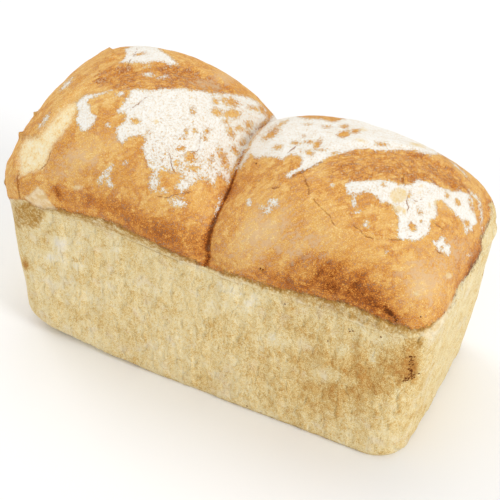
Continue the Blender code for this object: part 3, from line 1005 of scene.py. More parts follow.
@dataclass(frozen=True)
class CrustMap:
    """Where each mark of the crust lies, on the side that the photograph shows and round the back.

    A pair of numbers is where a smooth step starts and ends, but hidden_rim_mm is the middle and the
    reach of a darker band. Names that start with hidden hold where the photograph doesn't reach.
    """

    view: Viewpoint
    form: LoafForm
    seen: tuple[float, float] = (-0.10, 0.06)
    outside_mm: float = 8.0
    deepest_flour_mm: float = 1.3
    # Strength of the ridge's painted highlight and of the painted shadow below it, away from those places
    plain_ridge_light_and_shade: float = 0.22
    plain_loose_mm: float = 0.35
    crack_reach: tuple[float, float] = (1.5, 4.0)
    # Width of the painted shade along the cleft
    cleft_shade_mm: float = 1.8
    # These six shape the painted shade where the crust tucks under: strongest on the front long side,
    # faint on the ends
    olive_shade_strength: float = 0.65
    olive_shade_fade_mm: tuple[float, float] = (-2.5, 2.0)
    tuck_shade_rise_mm: tuple[float, float] = (0.2, 1.2)
    tuck_shade_fade_mm: tuple[float, float] = (-2.5, 0.3)
    tuck_shade_at_ends: float = 0.12
    front_turn: tuple[float, float] = (0.2, 0.6)
    slash_taper_mm: float = 60.0
    hidden_edge_mm: float = 4.0
    hidden_edge_swing_mm: float = 2.0
    hidden_edge_wave: float = 0.012
    hidden_flour_swing_mm: float = 6.0
    hidden_flour_wave: float = 0.016
    hidden_loose_mm: float = 1.6
    hidden_dust: float = 0.3
    hidden_bake: float = 0.25
    hidden_bake_size: float = 0.030
    hidden_rim_bake: float = 0.20
    hidden_rim_mm: tuple[float, float] = (6.0, 7.0)
    hidden_side_bake: float = 0.16
    hidden_side_size: float = 0.035
    hidden_side_shift: float = 0.1

    def depth_mm(self, shapes: Iterable[Outline | Spot], at_px: np.ndarray) -> np.ndarray:
        """How far inside the nearest of several shapes each point is.

        Args:
            shapes: outlines or spots.
            at_px: rows of across and down.

        Returns:
            Millimetres, below 0 outside them all.
        """
        scale = self.view.px_per_mm()
        deepest = np.full(len(at_px), -self.outside_mm)
        for shape in shapes:
            near = self.close_to(shape, at_px)
            inside = shape.depth(at_px[near]) / scale
            deepest[near] = np.maximum(deepest[near], inside)
        return deepest

    def close_to(self, shape: Outline | Spot | Line, at_px: np.ndarray) -> np.ndarray:
        """Finds the points within a margin of a shape's box.

        Args:
            shape: an outline, spot or line.
            at_px: rows of across and down.

        Returns:
            True for each point in the box.
        """
        if isinstance(shape, Spot):
            size = max(shape.wide, shape.high)
            corners = np.array([(shape.x - size, shape.y - size), (shape.x + size, shape.y + size)])
        else:
            corners = np.array(shape.points_px)
        margin = self.outside_mm * self.view.px_per_mm()
        low, high = corners.min(axis=0) - margin, corners.max(axis=0) + margin
        return ((at_px > low) & (at_px < high)).all(axis=1)

    def back_flour_mm(self, points: np.ndarray, grain: Grain) -> np.ndarray:
        """Flour on the side that the photograph doesn't show: patches that fade down the back.

        Args:
            points: rows of x, y and z.
            grain: what makes their edges uneven.

        Returns:
            Millimetres inside the patches.
        """
        across = points[:, :2] / MM
        depth = np.full(len(points), -self.outside_mm)
        for spot in BACK_FLOUR:
            depth = np.maximum(depth, spot.depth(across))
        depth += self.hidden_flour_swing_mm * grain.layered(points, self.hidden_flour_wave, 3)
        return np.clip(depth, -self.outside_mm, self.outside_mm)

    def flour_loose_mm(self, at_px: np.ndarray) -> np.ndarray:
        """How far the flour's edge breaks into specks.

        Args:
            at_px: rows of across and down.

        Returns:
            Millimetres to either side of the edge.
        """
        loose = np.full(len(at_px), self.plain_loose_mm)
        for outline in FLOUR_PATCHES:
            near = self.close_to(outline, at_px)
            loose[near] = np.maximum(loose[near], outline.loose_mm)
        return loose + self.covered(SPECKLED, at_px)

    def crack_places(self, at_px: np.ndarray) -> np.ndarray:
        """Finds points beside the cracks and the painted shadow lines.

        Args:
            at_px: rows of across and down.

        Returns:
            Distances to the nearest crack, in its own widths, above 0 on one side of it.
        """
        crack = np.full(len(at_px), self.outside_mm)
        for line in CRACKS_AND_SHADOW_LINES:
            near = np.flatnonzero(self.close_to(line, at_px))
            beside = line.beside(at_px[near]) / self.view.px_per_mm() / line.width_mm
            closer = np.abs(beside) < np.abs(crack[near])
            crack[near[closer]] = beside[closer]
        return crack

    def covered(self, spots: Iterable[Spot], at_px: np.ndarray) -> np.ndarray:
        """The soft covers of several spots, added up."""
        return sum(spot.cover(at_px) for spot in spots)

    def marks(self, points: np.ndarray, normals: np.ndarray) -> dict[Mark, np.ndarray]:
        """Works out every mark at the loaf's points.

        Args:
            points: rows of x, y and z.
            normals: the surface's directions there.

        Returns:
            One row of numbers for each mark.
        """
        at_px = self.view.to_frame(points)
        seen = smooth_step(self.view.facing(points, normals), *self.seen)
        grain = Grain(seed=11)
        rise_mm = (points[:, 2] - self.form.crease(points[:, 0])) / MM
        flour = np.maximum(self.depth_mm(FLOUR_PATCHES, at_px), self.depth_mm(FLOUR_DABS, at_px))
        flour = np.minimum(flour, -self.depth_mm(BARE_SPOTS, at_px))
        crack = self.crack_places(at_px)
        edge_mm = self.hidden_edge_swing_mm * grain.layered(points, self.hidden_edge_wave, 2)
        rim_mm, rim_reach_mm = self.hidden_rim_mm
        bake = self.hidden_bake * grain.layered(points, self.hidden_bake_size, 3)
        bake += self.hidden_rim_bake * np.exp(-((rise_mm - rim_mm) / rim_reach_mm) ** 2)
        side_bake = grain.layered(points + self.hidden_side_shift, self.hidden_side_size, 2)
        golden = GOLDEN_CRUST.depth(at_px) / self.view.px_per_mm()
        shown_and_hidden = {
            Mark.GOLDEN: (golden, rise_mm - self.hidden_edge_mm - edge_mm),
            Mark.FLOUR: (flour, self.back_flour_mm(points, grain)),
            Mark.LOOSE: (self.flour_loose_mm(at_px), self.hidden_loose_mm),
            Mark.THIN: (self.depth_mm(THIN_FLOUR, at_px), -self.outside_mm),
            Mark.SLASH: (self.depth_mm(SLASH_BANDS, at_px), self.back_slash_mm(points)),
            Mark.CRUMB: (self.depth_mm((PALE_CRUMB,), at_px), -self.outside_mm),
            Mark.PALE: (self.depth_mm(PALE_CRUST_AND_LIP_HIGHLIGHT, at_px), -self.outside_mm),
            Mark.BAKE: (self.covered(BAKES_AND_SHADE, at_px), bake),
            Mark.SIDE_BAKE_LIGHT_AND_SHADE: (self.covered(SIDE_BAKES_LIGHT_AND_SHADE, at_px), self.hidden_side_bake * side_bake),
            Mark.DUST: (np.minimum(self.covered(DUSTY_PLACES, at_px), 1.0), self.hidden_dust),
            Mark.RIDGE_HIGHLIGHT_AND_SHADOW: (self.plain_ridge_light_and_shade + self.covered(RIDGE_HIGHLIGHT_PLACES, at_px), self.plain_ridge_light_and_shade),
            Mark.CRACK_NEAR: (1.0 - smooth_step(np.abs(crack), *self.crack_reach), 0.0),
        }
        made = {
            mark: hidden * (1.0 - seen) + shown * seen
            for mark, (shown, hidden) in shown_and_hidden.items()
        }
        made[Mark.FLOUR] = np.minimum(made[Mark.FLOUR], self.deepest_flour_mm)
        made[Mark.RISE] = np.clip(rise_mm, -self.outside_mm, self.outside_mm)
        made[Mark.CRACK] = crack
        # Painted shade: darker along the floor of the cleft between the domes
        made[Mark.CLEFT_SHADE] = 1.0 - smooth_step(self.form.near_cleft(points) / MM, 0.0, self.cleft_shade_mm)
        # Painted shade where the crust tucks under: the olive places, and a band just above the rim,
        # strongest on the front long side
        olive_shade = smooth_step(self.depth_mm(OLIVE_SHADE_PLACES, at_px), *self.olive_shade_fade_mm)
        tucked_shade = smooth_step(rise_mm, *self.tuck_shade_rise_mm)
        tucked_shade = tucked_shade * (0.5 + 0.5 * smooth_step(made[Mark.GOLDEN], *self.tuck_shade_fade_mm))
        front = smooth_step(-normals[:, 1], *self.front_turn)
        tucked_shade = tucked_shade * (self.tuck_shade_at_ends + (1.0 - self.tuck_shade_at_ends) * front)
        made[Mark.OLIVE_SHADE] = np.maximum(self.olive_shade_strength * olive_shade * seen, tucked_shade)
        return made

    def back_slash_mm(self, points: np.ndarray) -> np.ndarray:
        """The slashes where they run on over the back of the domes.

        Args:
            points: rows of x, y and z.

        Returns:
            Millimetres inside the slashes.
        """
        depth = np.full(len(points), -self.outside_mm)
        for slash in (self.form.left_slash, self.form.right_slash):
            along, across = slash.place(points[:, 0], points[:, 1])
            inside = (slash.width / 2 - np.abs(across)) / MM
            ends = np.minimum(along, 1.0 - along) * self.slash_taper_mm
            depth = np.maximum(depth, np.minimum(inside, ends))
        return np.clip(depth, -self.outside_mm, self.outside_mm)


@dataclass(frozen=True)
class CrustRelief:
    """The fine relief of the crust, in millimetres along its normals.

    Sizes are the distances between bumps in metres. A pair of numbers is where a smooth step starts
    and ends.
    """

    view: Viewpoint
    form: LoafForm
    crust_mm: float = 0.30
    blister_size: float = 0.009
    torn_mm: float = 0.55
    strand_size: float = 0.0055
    side_mm: float = 0.5
    wrinkle_size: tuple[float, float, float] = (0.0045, 0.0045, 0.020)
    fine_wrinkle_size: tuple[float, float, float] = (0.0022, 0.0022, 0.009)
    fine_wrinkles: float = 0.5
    dent_size: float = 0.022
    dent_shift: float = 0.05
    dents: float = 1.2
    crumb_recess_mm: float = 0.4
    crack_mm: float = 0.2
    crack_width: float = 1.2
    flour_mm: float = 0.10
    edge_mm: float = 0.18
    edge_reach_mm: float = 5.0
    ridge_mm: float = 0.75
    ridge_half_mm: float = 0.9
    cleft_calm_mm: float = 4.0
    seen: tuple[float, float] = (-0.25, -0.05)
    crown_fade_mm: tuple[float, float] = (-1.0, 1.0)
    torn_fade_mm: tuple[float, float] = (-1.0, 1.5)
    crumb_fade_mm: tuple[float, float] = (-0.4, 1.2)
    flour_fade_mm: tuple[float, float] = (-0.3, 0.6)
    edge_fade_mm: tuple[float, float] = (-0.5, 0.5)

    def height_mm(
        self, points: np.ndarray, normals: np.ndarray, marks: dict[Mark, np.ndarray]
    ) -> np.ndarray:
        """Works out the relief at the loaf's points.

        Args:
            points: rows of x, y and z.
            normals: the surface's directions there.
            marks: the marks at those points.

        Returns:
            Height above the main form.
        """
        grain = Grain(seed=23)
        fine = Grain(seed=31)
        crown = smooth_step(marks[Mark.GOLDEN], *self.crown_fade_mm)
        torn = smooth_step(marks[Mark.SLASH], *self.torn_fade_mm)
        crumb = smooth_step(marks[Mark.CRUMB], *self.crumb_fade_mm)
        blisters = grain.layered(points, self.blister_size, 4) * self.crust_mm
        ridged = 1.0 - 2.0 * np.abs(fine.layered(points, self.strand_size, 3))
        height = crown * (1.0 - crumb) * blisters + crown * torn * ridged * self.torn_mm
        height -= crumb * self.crumb_recess_mm
        wrinkles = grain.at(points, self.wrinkle_size)
        wrinkles += self.fine_wrinkles * fine.at(points, self.fine_wrinkle_size)
        dents = grain.layered(points + self.dent_shift, self.dent_size, 2)
        height += (1.0 - crown) * self.side_mm * (wrinkles + self.dents * dents)
        groove = np.exp(-(marks[Mark.CRACK] / self.crack_width) ** 2) * marks[Mark.CRACK_NEAR]
        height -= groove * self.crack_mm
        height += smooth_step(marks[Mark.FLOUR], *self.flour_fade_mm) * self.flour_mm
        rounded = np.exp(-np.maximum(marks[Mark.GOLDEN], 0.0) / self.edge_reach_mm)
        height += smooth_step(marks[Mark.GOLDEN], *self.edge_fade_mm) * rounded * self.edge_mm
        ridge = np.exp(-(marks[Mark.RISE] / self.ridge_half_mm) ** 2) * (1.0 - crown)
        height += ridge * self.ridge_mm * (1.0 + blisters)
        seen = smooth_step(self.view.facing(points, normals), *self.seen)
        at_px = self.view.to_frame(points)
        for ledge in LEDGES:
            height += ledge.relief(at_px, self.view.px_per_mm()) * seen
        calm = smooth_step(self.form.near_cleft(points) / MM, 0.0, self.cleft_calm_mm)
        return height * calm


Socket = bpy.types.NodeSocket
Terms = Iterable[tuple[object, object]]


def add_node(
    tree: bpy.types.NodeTree, kind: str, settings: dict[str, object], inputs: dict[int | str, object]
) -> bpy.types.Node:
    """Adds one node with its settings, values and links.

    Args:
        tree: the material's nodes.
        kind: the node's type.
        settings: its properties by name.
        inputs: a value for each input, or the output that is linked to it.

    Returns:
        The new node.
    """
    node = tree.nodes.new(kind)
    for name, value in settings.items():
        setattr(node, name, value)
    for key, value in inputs.items():
        if isinstance(value, Socket):
            tree.links.new(value, node.inputs[key])
        else:
            node.inputs[key].default_value = value
    return node


@dataclass(frozen=True)
class Ramp:
    """Colours from the palest to the darkest bake, as sRGB hex at shares from 0 to 1."""

    stops: tuple[tuple[float, str], ...]

    def add(self, tree: bpy.types.NodeTree, tone: Socket) -> Socket:
        """Adds the ramp to a material.

        Args:
            tree: the material's nodes.
            tone: what picks the colour.

        Returns:
            The colour.
        """
        node = add_node(tree, "ShaderNodeValToRGB", {}, {0: tone})
        elements = node.color_ramp.elements
        while len(elements) < len(self.stops):
            elements.new(0.5)
        for element, (place, colour) in zip(elements, self.stops):
            element.position = place
            element.color = linear_colour(colour)
        return node.outputs[0]


@dataclass(frozen=True)
class Pattern:
    """An unevenness of the crust at its real size, from about -0.5 to 0.5."""

    name: str
    size_mm: float
    detail: float
    roughness: float
    bend: float = 0.0
    along: str = "loaf"


# Grains of crust and flour are about 0.1 mm and wouldn't show, so grain is drawn at 0.45 mm
PATTERNS = (
    Pattern("grain", 0.45, 1.0, 0.6),
    Pattern("speckle", 1.0, 3.0, 0.65),
    Pattern("mottle", 4.0, 4.0, 0.6),
    Pattern("broad", 16.0, 3.0, 0.55),
    Pattern("streak", 1.5, 3.0, 0.6, 0.3, "slash"),
    Pattern("wrinkle", 3.8, 2.0, 0.5, 0.4, "wall"),
    Pattern("upright", 1.6, 3.0, 0.6, 0.4, "wall"),
    Pattern("grey", 9.0, 4.0, 0.6, 0.3),
    Pattern("fine", 1.1, 4.0, 0.7),
    Pattern("ragged", 4.0, 5.0, 0.7, 0.2),
)


@dataclass(frozen=True)
class Cover:
    """Where one kind of crust lies: marks and patterns added up, faded in from low to high."""

    name: str
    low: float
    high: float
    terms: tuple[tuple[str | Mark, float], ...]


# Millimetres inside the golden crust, with its ragged edge
GOLDEN_DEPTH = ((Mark.GOLDEN, 1.0), ("ragged", 4.0), ("fine", 4.0), ("grain", 3.0))

# Kinds of crust, then the fine patterns that are laid on them
COVERS = (
    Cover("golden", -0.5, 0.6, GOLDEN_DEPTH),
    Cover("golden_rim", 2.6, 0.3, GOLDEN_DEPTH),
    Cover("golden_shade", -1.8, -0.1, GOLDEN_DEPTH),
    Cover("above_rim", 0.0, 1.0, ((Mark.RISE, 1.0),)),
    Cover("torn", -0.6, 1.2, ((Mark.SLASH, 1.0), ("ragged", 4.0), ("streak", 3.0))),
    Cover("crumb", -1.0, 2.4, ((Mark.CRUMB, 1.0), ("ragged", 7.0), ("fine", 3.0))),
    Cover("pale", -0.6, 0.9, ((Mark.PALE, 1.0), ("ragged", 3.0), ("fine", 2.0))),
    Cover("thin", -0.6, 0.9, ((Mark.THIN, 1.0), ("fine", 2.5), ("ragged", 1.5))),
    Cover("crack_gaps", -0.12, 0.06, (("mottle", 1.0),)),
    Cover("ridge_gaps", -0.08, 0.10, (("ragged", 1.0),)),
    Cover("light_bake", 0.4, 0.0, ((Mark.BAKE, 1.0), (Mark.CLEFT_SHADE, 0.6))),
    Cover("flecks", 0.08, 0.2, (("grain", 1.0), ("speckle", 0.6))),
    Cover("layers", -0.03, 0.05, (("broad", 1.0), ("ragged", 0.5))),
    Cover("strands", 0.07, 0.22, (("streak", 1.0), ("speckle", 0.8), ("grain", 0.6))),
    Cover("veil", 0.1, 1.1, ((Mark.DUST, 1.0), ("streak", 3.2), ("mottle", 2.6), ("speckle", 1.4))),
    Cover("dusty", -0.45, 0.55, ((Mark.DUST, 1.0),)),
    Cover("not_dark", 0.45, 0.05, ((Mark.BAKE, 1.0),)),
    Cover("greyed", 0.02, 0.2, (("grey", 1.0),)),
    Cover("side_light", 0.25, 0.0, ((Mark.SIDE_BAKE_LIGHT_AND_SHADE, 1.0),)),
    Cover("toasted", 0.12, 0.34, (("speckle", 1.0), ("mottle", 0.8), (Mark.SIDE_BAKE_LIGHT_AND_SHADE, 0.25))),
    Cover("lip", -0.1, 0.1, (("mottle", 1.0),)),
)


class CrustNodes:
    """The nodes of a crust material: its marks, patterns and covers by name."""

    def __init__(self, tree: bpy.types.NodeTree) -> None:
        """Adds the marks that the mesh carries.

        Args:
            tree: the material's nodes.
        """
        self.tree = tree
        self.named: dict[str | Mark, Socket] = {}
        for mark in Mark:
            attribute = add_node(tree, "ShaderNodeAttribute", {"attribute_name": mark.value}, {})
            self.named[mark] = attribute.outputs["Fac"]

    def find(self, source: object) -> object:
        """The output of a name; an output or a number stays as it is."""
        return self.named.get(source, source)

    def add_up(self, start: object, terms: Terms) -> Socket:
        """Adds products to a number.

        Args:
            start: the first number or output.
            terms: pairs of factors, each a name, an output or a number.

        Returns:
            The sum.
        """
        total = start
        for source, weight in terms:
            factors = {0: self.find(source), 1: self.find(weight), 2: total}
            node = add_node(self.tree, "ShaderNodeMath", {"operation": "MULTIPLY_ADD"}, factors)
            total = node.outputs[0]
        return total

    def product(self, first: object, *others: object) -> Socket:
        """Multiplies names, outputs or numbers.

        Args:
            first: one factor.
            others: the other factors.

        Returns:
            The product.
        """
        total = self.find(first)
        for other in others:
            total = self.add_up(0.0, [(total, other)])
        return total

    def cover(self, low: float, high: float, terms: Terms) -> Socket:
        """Fades a sum in from low to high, or out where low is the larger.

        Args:
            low: the sum where the cover is 0.
            high: the sum where it is 1.
            terms: what the sum adds.

        Returns:
            The cover.
        """
        depth = self.add_up(0.0, terms)
        fade = {"interpolation_type": "SMOOTHSTEP"}
        return add_node(self.tree, "ShaderNodeMapRange", fade, {0: depth, 1: low, 2: high}).outputs[0]

    def line(self, low: float, high: float, start: float, terms: Terms, wander: Terms = ()) -> Socket:
        """Draws a line where a sum is 0.

        Args:
            low: the distance from the line where it is gone.
            high: the distance up to which it is full.
            start: the sum's first number.
            terms: what the sum adds.
            wander: what is added to the distance, so that the line's width varies.

        Returns:
            The line's cover.
        """
        off = {0: self.add_up(start, terms)}
        distance = add_node(self.tree, "ShaderNodeMath", {"operation": "ABSOLUTE"}, off).outputs[0]
        return self.cover(low, high, [(distance, 1.0), *wander])

    def lay(self, under: object, layers: Iterable[tuple[object, object]]) -> Socket:
        """Lays colours over one another.

        Args:
            under: the lowest colour.
            layers: pairs of a cover, and the colour that it lays on.

        Returns:
            The finished colour.
        """
        for cover, over in layers:
            inputs = {0: self.find(cover), 6: under, 7: over}
            under = add_node(self.tree, "ShaderNodeMix", {"data_type": "RGBA"}, inputs).outputs[2]
        return under


@dataclass(frozen=True)
class BreadCrust:
    """Baked white-bread crust: golden and speckled on the domes, pale where the tin held it.

    Fine brown and cream speckles give it its dry, matt look; flour lies on it in ragged patches.
    """

    golden: Ramp = Ramp((
        (0.0, "f9e2b2"), (0.25, "f0c87e"), (0.45, "e5aa55"), (0.62, "d3883a"), (0.8, "af5f23"),
        (1.0, "6f3a15"),
    ))
    side: Ramp = Ramp((
        (0.0, "f0e6d0"), (0.25, "f2e2b6"), (0.5, "e9d198"), (0.72, "d4ae68"), (1.0, "b57c3c"),
    ))
    crumb: Ramp = Ramp(((0.0, "fff4d6"), (0.5, "fde6b2"), (1.0, "f0c27a")))
    flour: Ramp = Ramp(((0.0, "fffdf8"), (0.5, "f7f2e7"), (1.0, "dfc090")))
    fleck: str = "f8ddb0"
    strand: str = "f6d6a4"
    veil: str = "e5c194"
    grey: str = "eae0d2"
    toast: str = "d49a4a"
    # Painted shade where the crust tucks under
    olive_shade: str = "b5873f"
    # Painted shadow just below the golden crust's edge
    tuck: str = "a1722a"
    # Painted shadow just below the rim's ridge
    shadow_under_ridge: str = "a37a3c"
    # Painted highlight on the rim's ridge
    ridge: str = "fff4d6"
    # Pale crust of the lips, on the left lip's edge partly a painted highlight
    lip: tuple[str, str] = ("f8e8c6", "eccf98")
    thin_flour: str = "eed296"
    # Dark brown of the cracks, and of two painted shadow lines beside flakes
    crack: str = "a0602a"
    streak_turn: tuple[float, float, float] = (0.0, -26.6, 36.9)
    streak_shape: tuple[float, float, float] = (5.0, 1.0, 1.2)
    wrinkle_shape: tuple[float, float, float] = (1.0, 1.0, 0.6)
    below_ridge_mm: float = 1.4
    roughness: float = 0.72
    ior: float = 1.4
    specular: float = 0.1

    def dress(self, piece: bpy.types.Object) -> None:
        """Gives a piece this finish.

        Args:
            piece: what is dressed.
        """
        material = bpy.data.materials.new("baked_bread_crust")
        material.use_nodes = True
        tree = material.node_tree
        shader = tree.nodes["Principled BSDF"]
        shader.inputs["Roughness"].default_value = self.roughness
        shader.inputs["IOR"].default_value = self.ior
        shader.inputs["Specular IOR Level"].default_value = self.specular
        nodes = CrustNodes(tree)
        self.add_patterns(nodes)
        self.add_covers(nodes)
        tree.links.new(self.colour(nodes), shader.inputs["Base Color"])
        tree.links.new(self.bump(nodes), shader.inputs["Normal"])
        piece.data.materials.append(material)

    def add_patterns(self, nodes: CrustNodes) -> None:
        """Adds the patterns: some follow the loaf, some the slashes, and some run up its walls.

        Args:
            nodes: the material's nodes.
        """
        loaf = add_node(nodes.tree, "ShaderNodeTexCoord", {}, {}).outputs["Object"]
        turn = tuple(math.radians(angle) for angle in self.streak_turn)
        stretched = {0: loaf, "Rotation": turn, "Scale": self.streak_shape}
        slash = add_node(nodes.tree, "ShaderNodeMapping", {"vector_type": "TEXTURE"}, stretched)
        raised = {0: loaf, "Scale": self.wrinkle_shape}
        wall = add_node(nodes.tree, "ShaderNodeMapping", {"vector_type": "POINT"}, raised)
        places = {"loaf": loaf, "slash": slash.outputs[0], "wall": wall.outputs[0]}
        for pattern in PATTERNS:
            noise = add_node(nodes.tree, "ShaderNodeTexNoise", {}, {
                0: places[pattern.along], "Scale": 1.0 / (pattern.size_mm * MM), "Detail": pattern.detail,
                "Roughness": pattern.roughness, "Distortion": pattern.bend,
            })
            nodes.named[pattern.name] = nodes.add_up(-0.5, [(noise.outputs[0], 1.0)])

    def add_covers(self, nodes: CrustNodes) -> None:
        """Adds where each kind of crust lies, with ragged edges.

        Args:
            nodes: the material's nodes.
        """
        for cover in COVERS:
            nodes.named[cover.name] = nodes.cover(cover.low, cover.high, cover.terms)
        broken = nodes.add_up(0.0, [("fine", 3.6), ("ragged", 1.8), ("grain", 2.6)])
        nodes.named["flour"] = nodes.cover(-0.08, 0.16, [
            (Mark.FLOUR, 1.0), (broken, Mark.LOOSE), ("fine", 3.0), ("ragged", 1.8), ("grain", 2.6),
        ])
        crack = [(Mark.CRACK, 1.0), ("ragged", 4.0), ("fine", 2.5)]
        crack = nodes.line(0.8, 0.25, 0.0, crack, wander=[("speckle", 1.6)])
        nodes.named["crack"] = nodes.product(crack, Mark.CRACK_NEAR, "crack_gaps")
        # A painted highlight along the rim's ridge, and a painted shadow line just below it
        rise = [(Mark.RISE, 1.0), ("fine", 1.6), ("ragged", 1.2)]
        ridge = nodes.line(0.9, 0.2, 0.0, rise)
        nodes.named["ridge"] = nodes.product(ridge, "ridge_gaps", Mark.RIDGE_HIGHLIGHT_AND_SHADOW)
        under = nodes.line(0.9, 0.25, self.below_ridge_mm, rise)
        nodes.named["under"] = nodes.product(under, Mark.RIDGE_HIGHLIGHT_AND_SHADOW)

    def golden_colour(self, nodes: CrustNodes) -> Socket:
        """Colours the domes: speckled gold, torn strands along the slashes, and a dusty veil.

        Args:
            nodes: the material's nodes.

        Returns:
            The golden crust's colour.
        """
        torn = nodes.product("torn", nodes.add_up(0.13, [("streak", 0.8)]))
        rim = nodes.product("golden_rim", nodes.add_up(0.12, [("speckle", 0.6)]))
        # Darker near the cleft: painted shade between the domes
        tone = nodes.add_up(0.44, [
            ("grain", 1.25), ("speckle", 0.55), ("mottle", 0.40), ("layers", 0.11), ("streak", 0.6),
            (Mark.BAKE, 1.0), (Mark.CLEFT_SHADE, 0.42), (torn, 1.0), (rim, 1.0),
        ])
        return nodes.lay(self.golden.add(nodes.tree, tone), [
            (nodes.product("flecks", "light_bake", 0.6), linear_colour(self.fleck)),
            (nodes.product("strands", "torn", 0.5), linear_colour(self.strand)),
            (nodes.product("veil", "dusty", "not_dark", 0.78), linear_colour(self.veil)),
        ])

    def side_colour(self, nodes: CrustNodes) -> Socket:
        """Colours the walls: pale and toasted in places, with painted shade below the golden edge and a
        painted highlight on the ridge at the rim.

        Args:
            nodes: the material's nodes.

        Returns:
            The walls' colour.
        """
        tone = nodes.add_up(0.45, [
            ("grain", 1.2), ("speckle", 0.45), ("upright", 0.4), ("wrinkle", 0.50), ("mottle", 0.24),
            ("broad", 0.5), (Mark.SIDE_BAKE_LIGHT_AND_SHADE, 1.0),
        ])
        patchy = nodes.add_up(0.95, [("speckle", 2.4), ("mottle", 2.2)])
        return nodes.lay(self.side.add(nodes.tree, tone), [
            (nodes.product("greyed", "side_light", 0.30), linear_colour(self.grey)),
            (nodes.product("toasted", 0.36), linear_colour(self.toast)),
            # Painted shade: olive where the crust tucks under
            (nodes.cover(0.0, 1.0, [(Mark.OLIVE_SHADE, patchy)]), linear_colour(self.olive_shade)),
            # Painted shadow just below the golden edge
            (nodes.product("golden_shade", "above_rim", Mark.OLIVE_SHADE, 0.5), linear_colour(self.tuck)),
            # Painted shadow below the ridge
            (nodes.product("under", 0.4), linear_colour(self.shadow_under_ridge)),
            # Painted highlight on the ridge
            (nodes.product("ridge", 0.85), linear_colour(self.ridge)),
        ])

    def colour(self, nodes: CrustNodes) -> Socket:
        """Lays gold on the walls' crust, then lips, crumb, flour, and cracks with some painted shadow
        lines, on both.

        Args:
            nodes: the material's nodes.

        Returns:
            The finished colour.
        """
        bare, warm = (linear_colour(colour) for colour in self.lip)
        crumb = nodes.add_up(0.45, [("mottle", 1.9), ("speckle", 1.1), ("grain", 0.9)])
        flour = nodes.add_up(0.44, [("speckle", 1.2), ("mottle", 0.7), ("grain", 1.3)])
        thin = nodes.product("thin", nodes.add_up(0.7, [("mottle", 1.2), ("speckle", 0.8)]))
        dusted = nodes.lay(self.flour.add(nodes.tree, flour), [(thin, linear_colour(self.thin_flour))])
        return nodes.lay(self.side_colour(nodes), [
            ("golden", self.golden_colour(nodes)),
            (nodes.product("pale", 0.76), nodes.lay(bare, [("lip", warm)])),
            ("crumb", self.crumb.add(nodes.tree, crumb)),
            ("flour", dusted),
            (nodes.product("crack", 0.8), linear_colour(self.crack)),
        ])

    def bump(self, nodes: CrustNodes) -> Socket:
        """Adds the finest relief in millimetres, too small for the mesh.

        Args:
            nodes: the material's nodes.

        Returns:
            The bumped normal.
        """
        crown = nodes.add_up(0.0, [("speckle", 0.22), ("mottle", 0.6), ("grain", 0.3)])
        side = nodes.add_up(0.0, [("wrinkle", 3.2), ("upright", 0.6), ("speckle", 0.24), ("grain", 0.12)])
        choice = {0: nodes.find("golden"), 2: side, 3: crown}
        both = add_node(nodes.tree, "ShaderNodeMix", {"data_type": "FLOAT"}, choice).outputs[0]
        height = nodes.add_up(both, [
            ("torn", "streak"), ("golden", 0.2), ("flour", 0.15), ("crack", -0.12), ("ridge", 0.3),
            ("crumb", -0.12), ("pale", 0.2),
        ])
        relief = {"Strength": 1.0, "Distance": MM, "Height": height}
        return add_node(nodes.tree, "ShaderNodeBump", {}, relief).outputs[0]


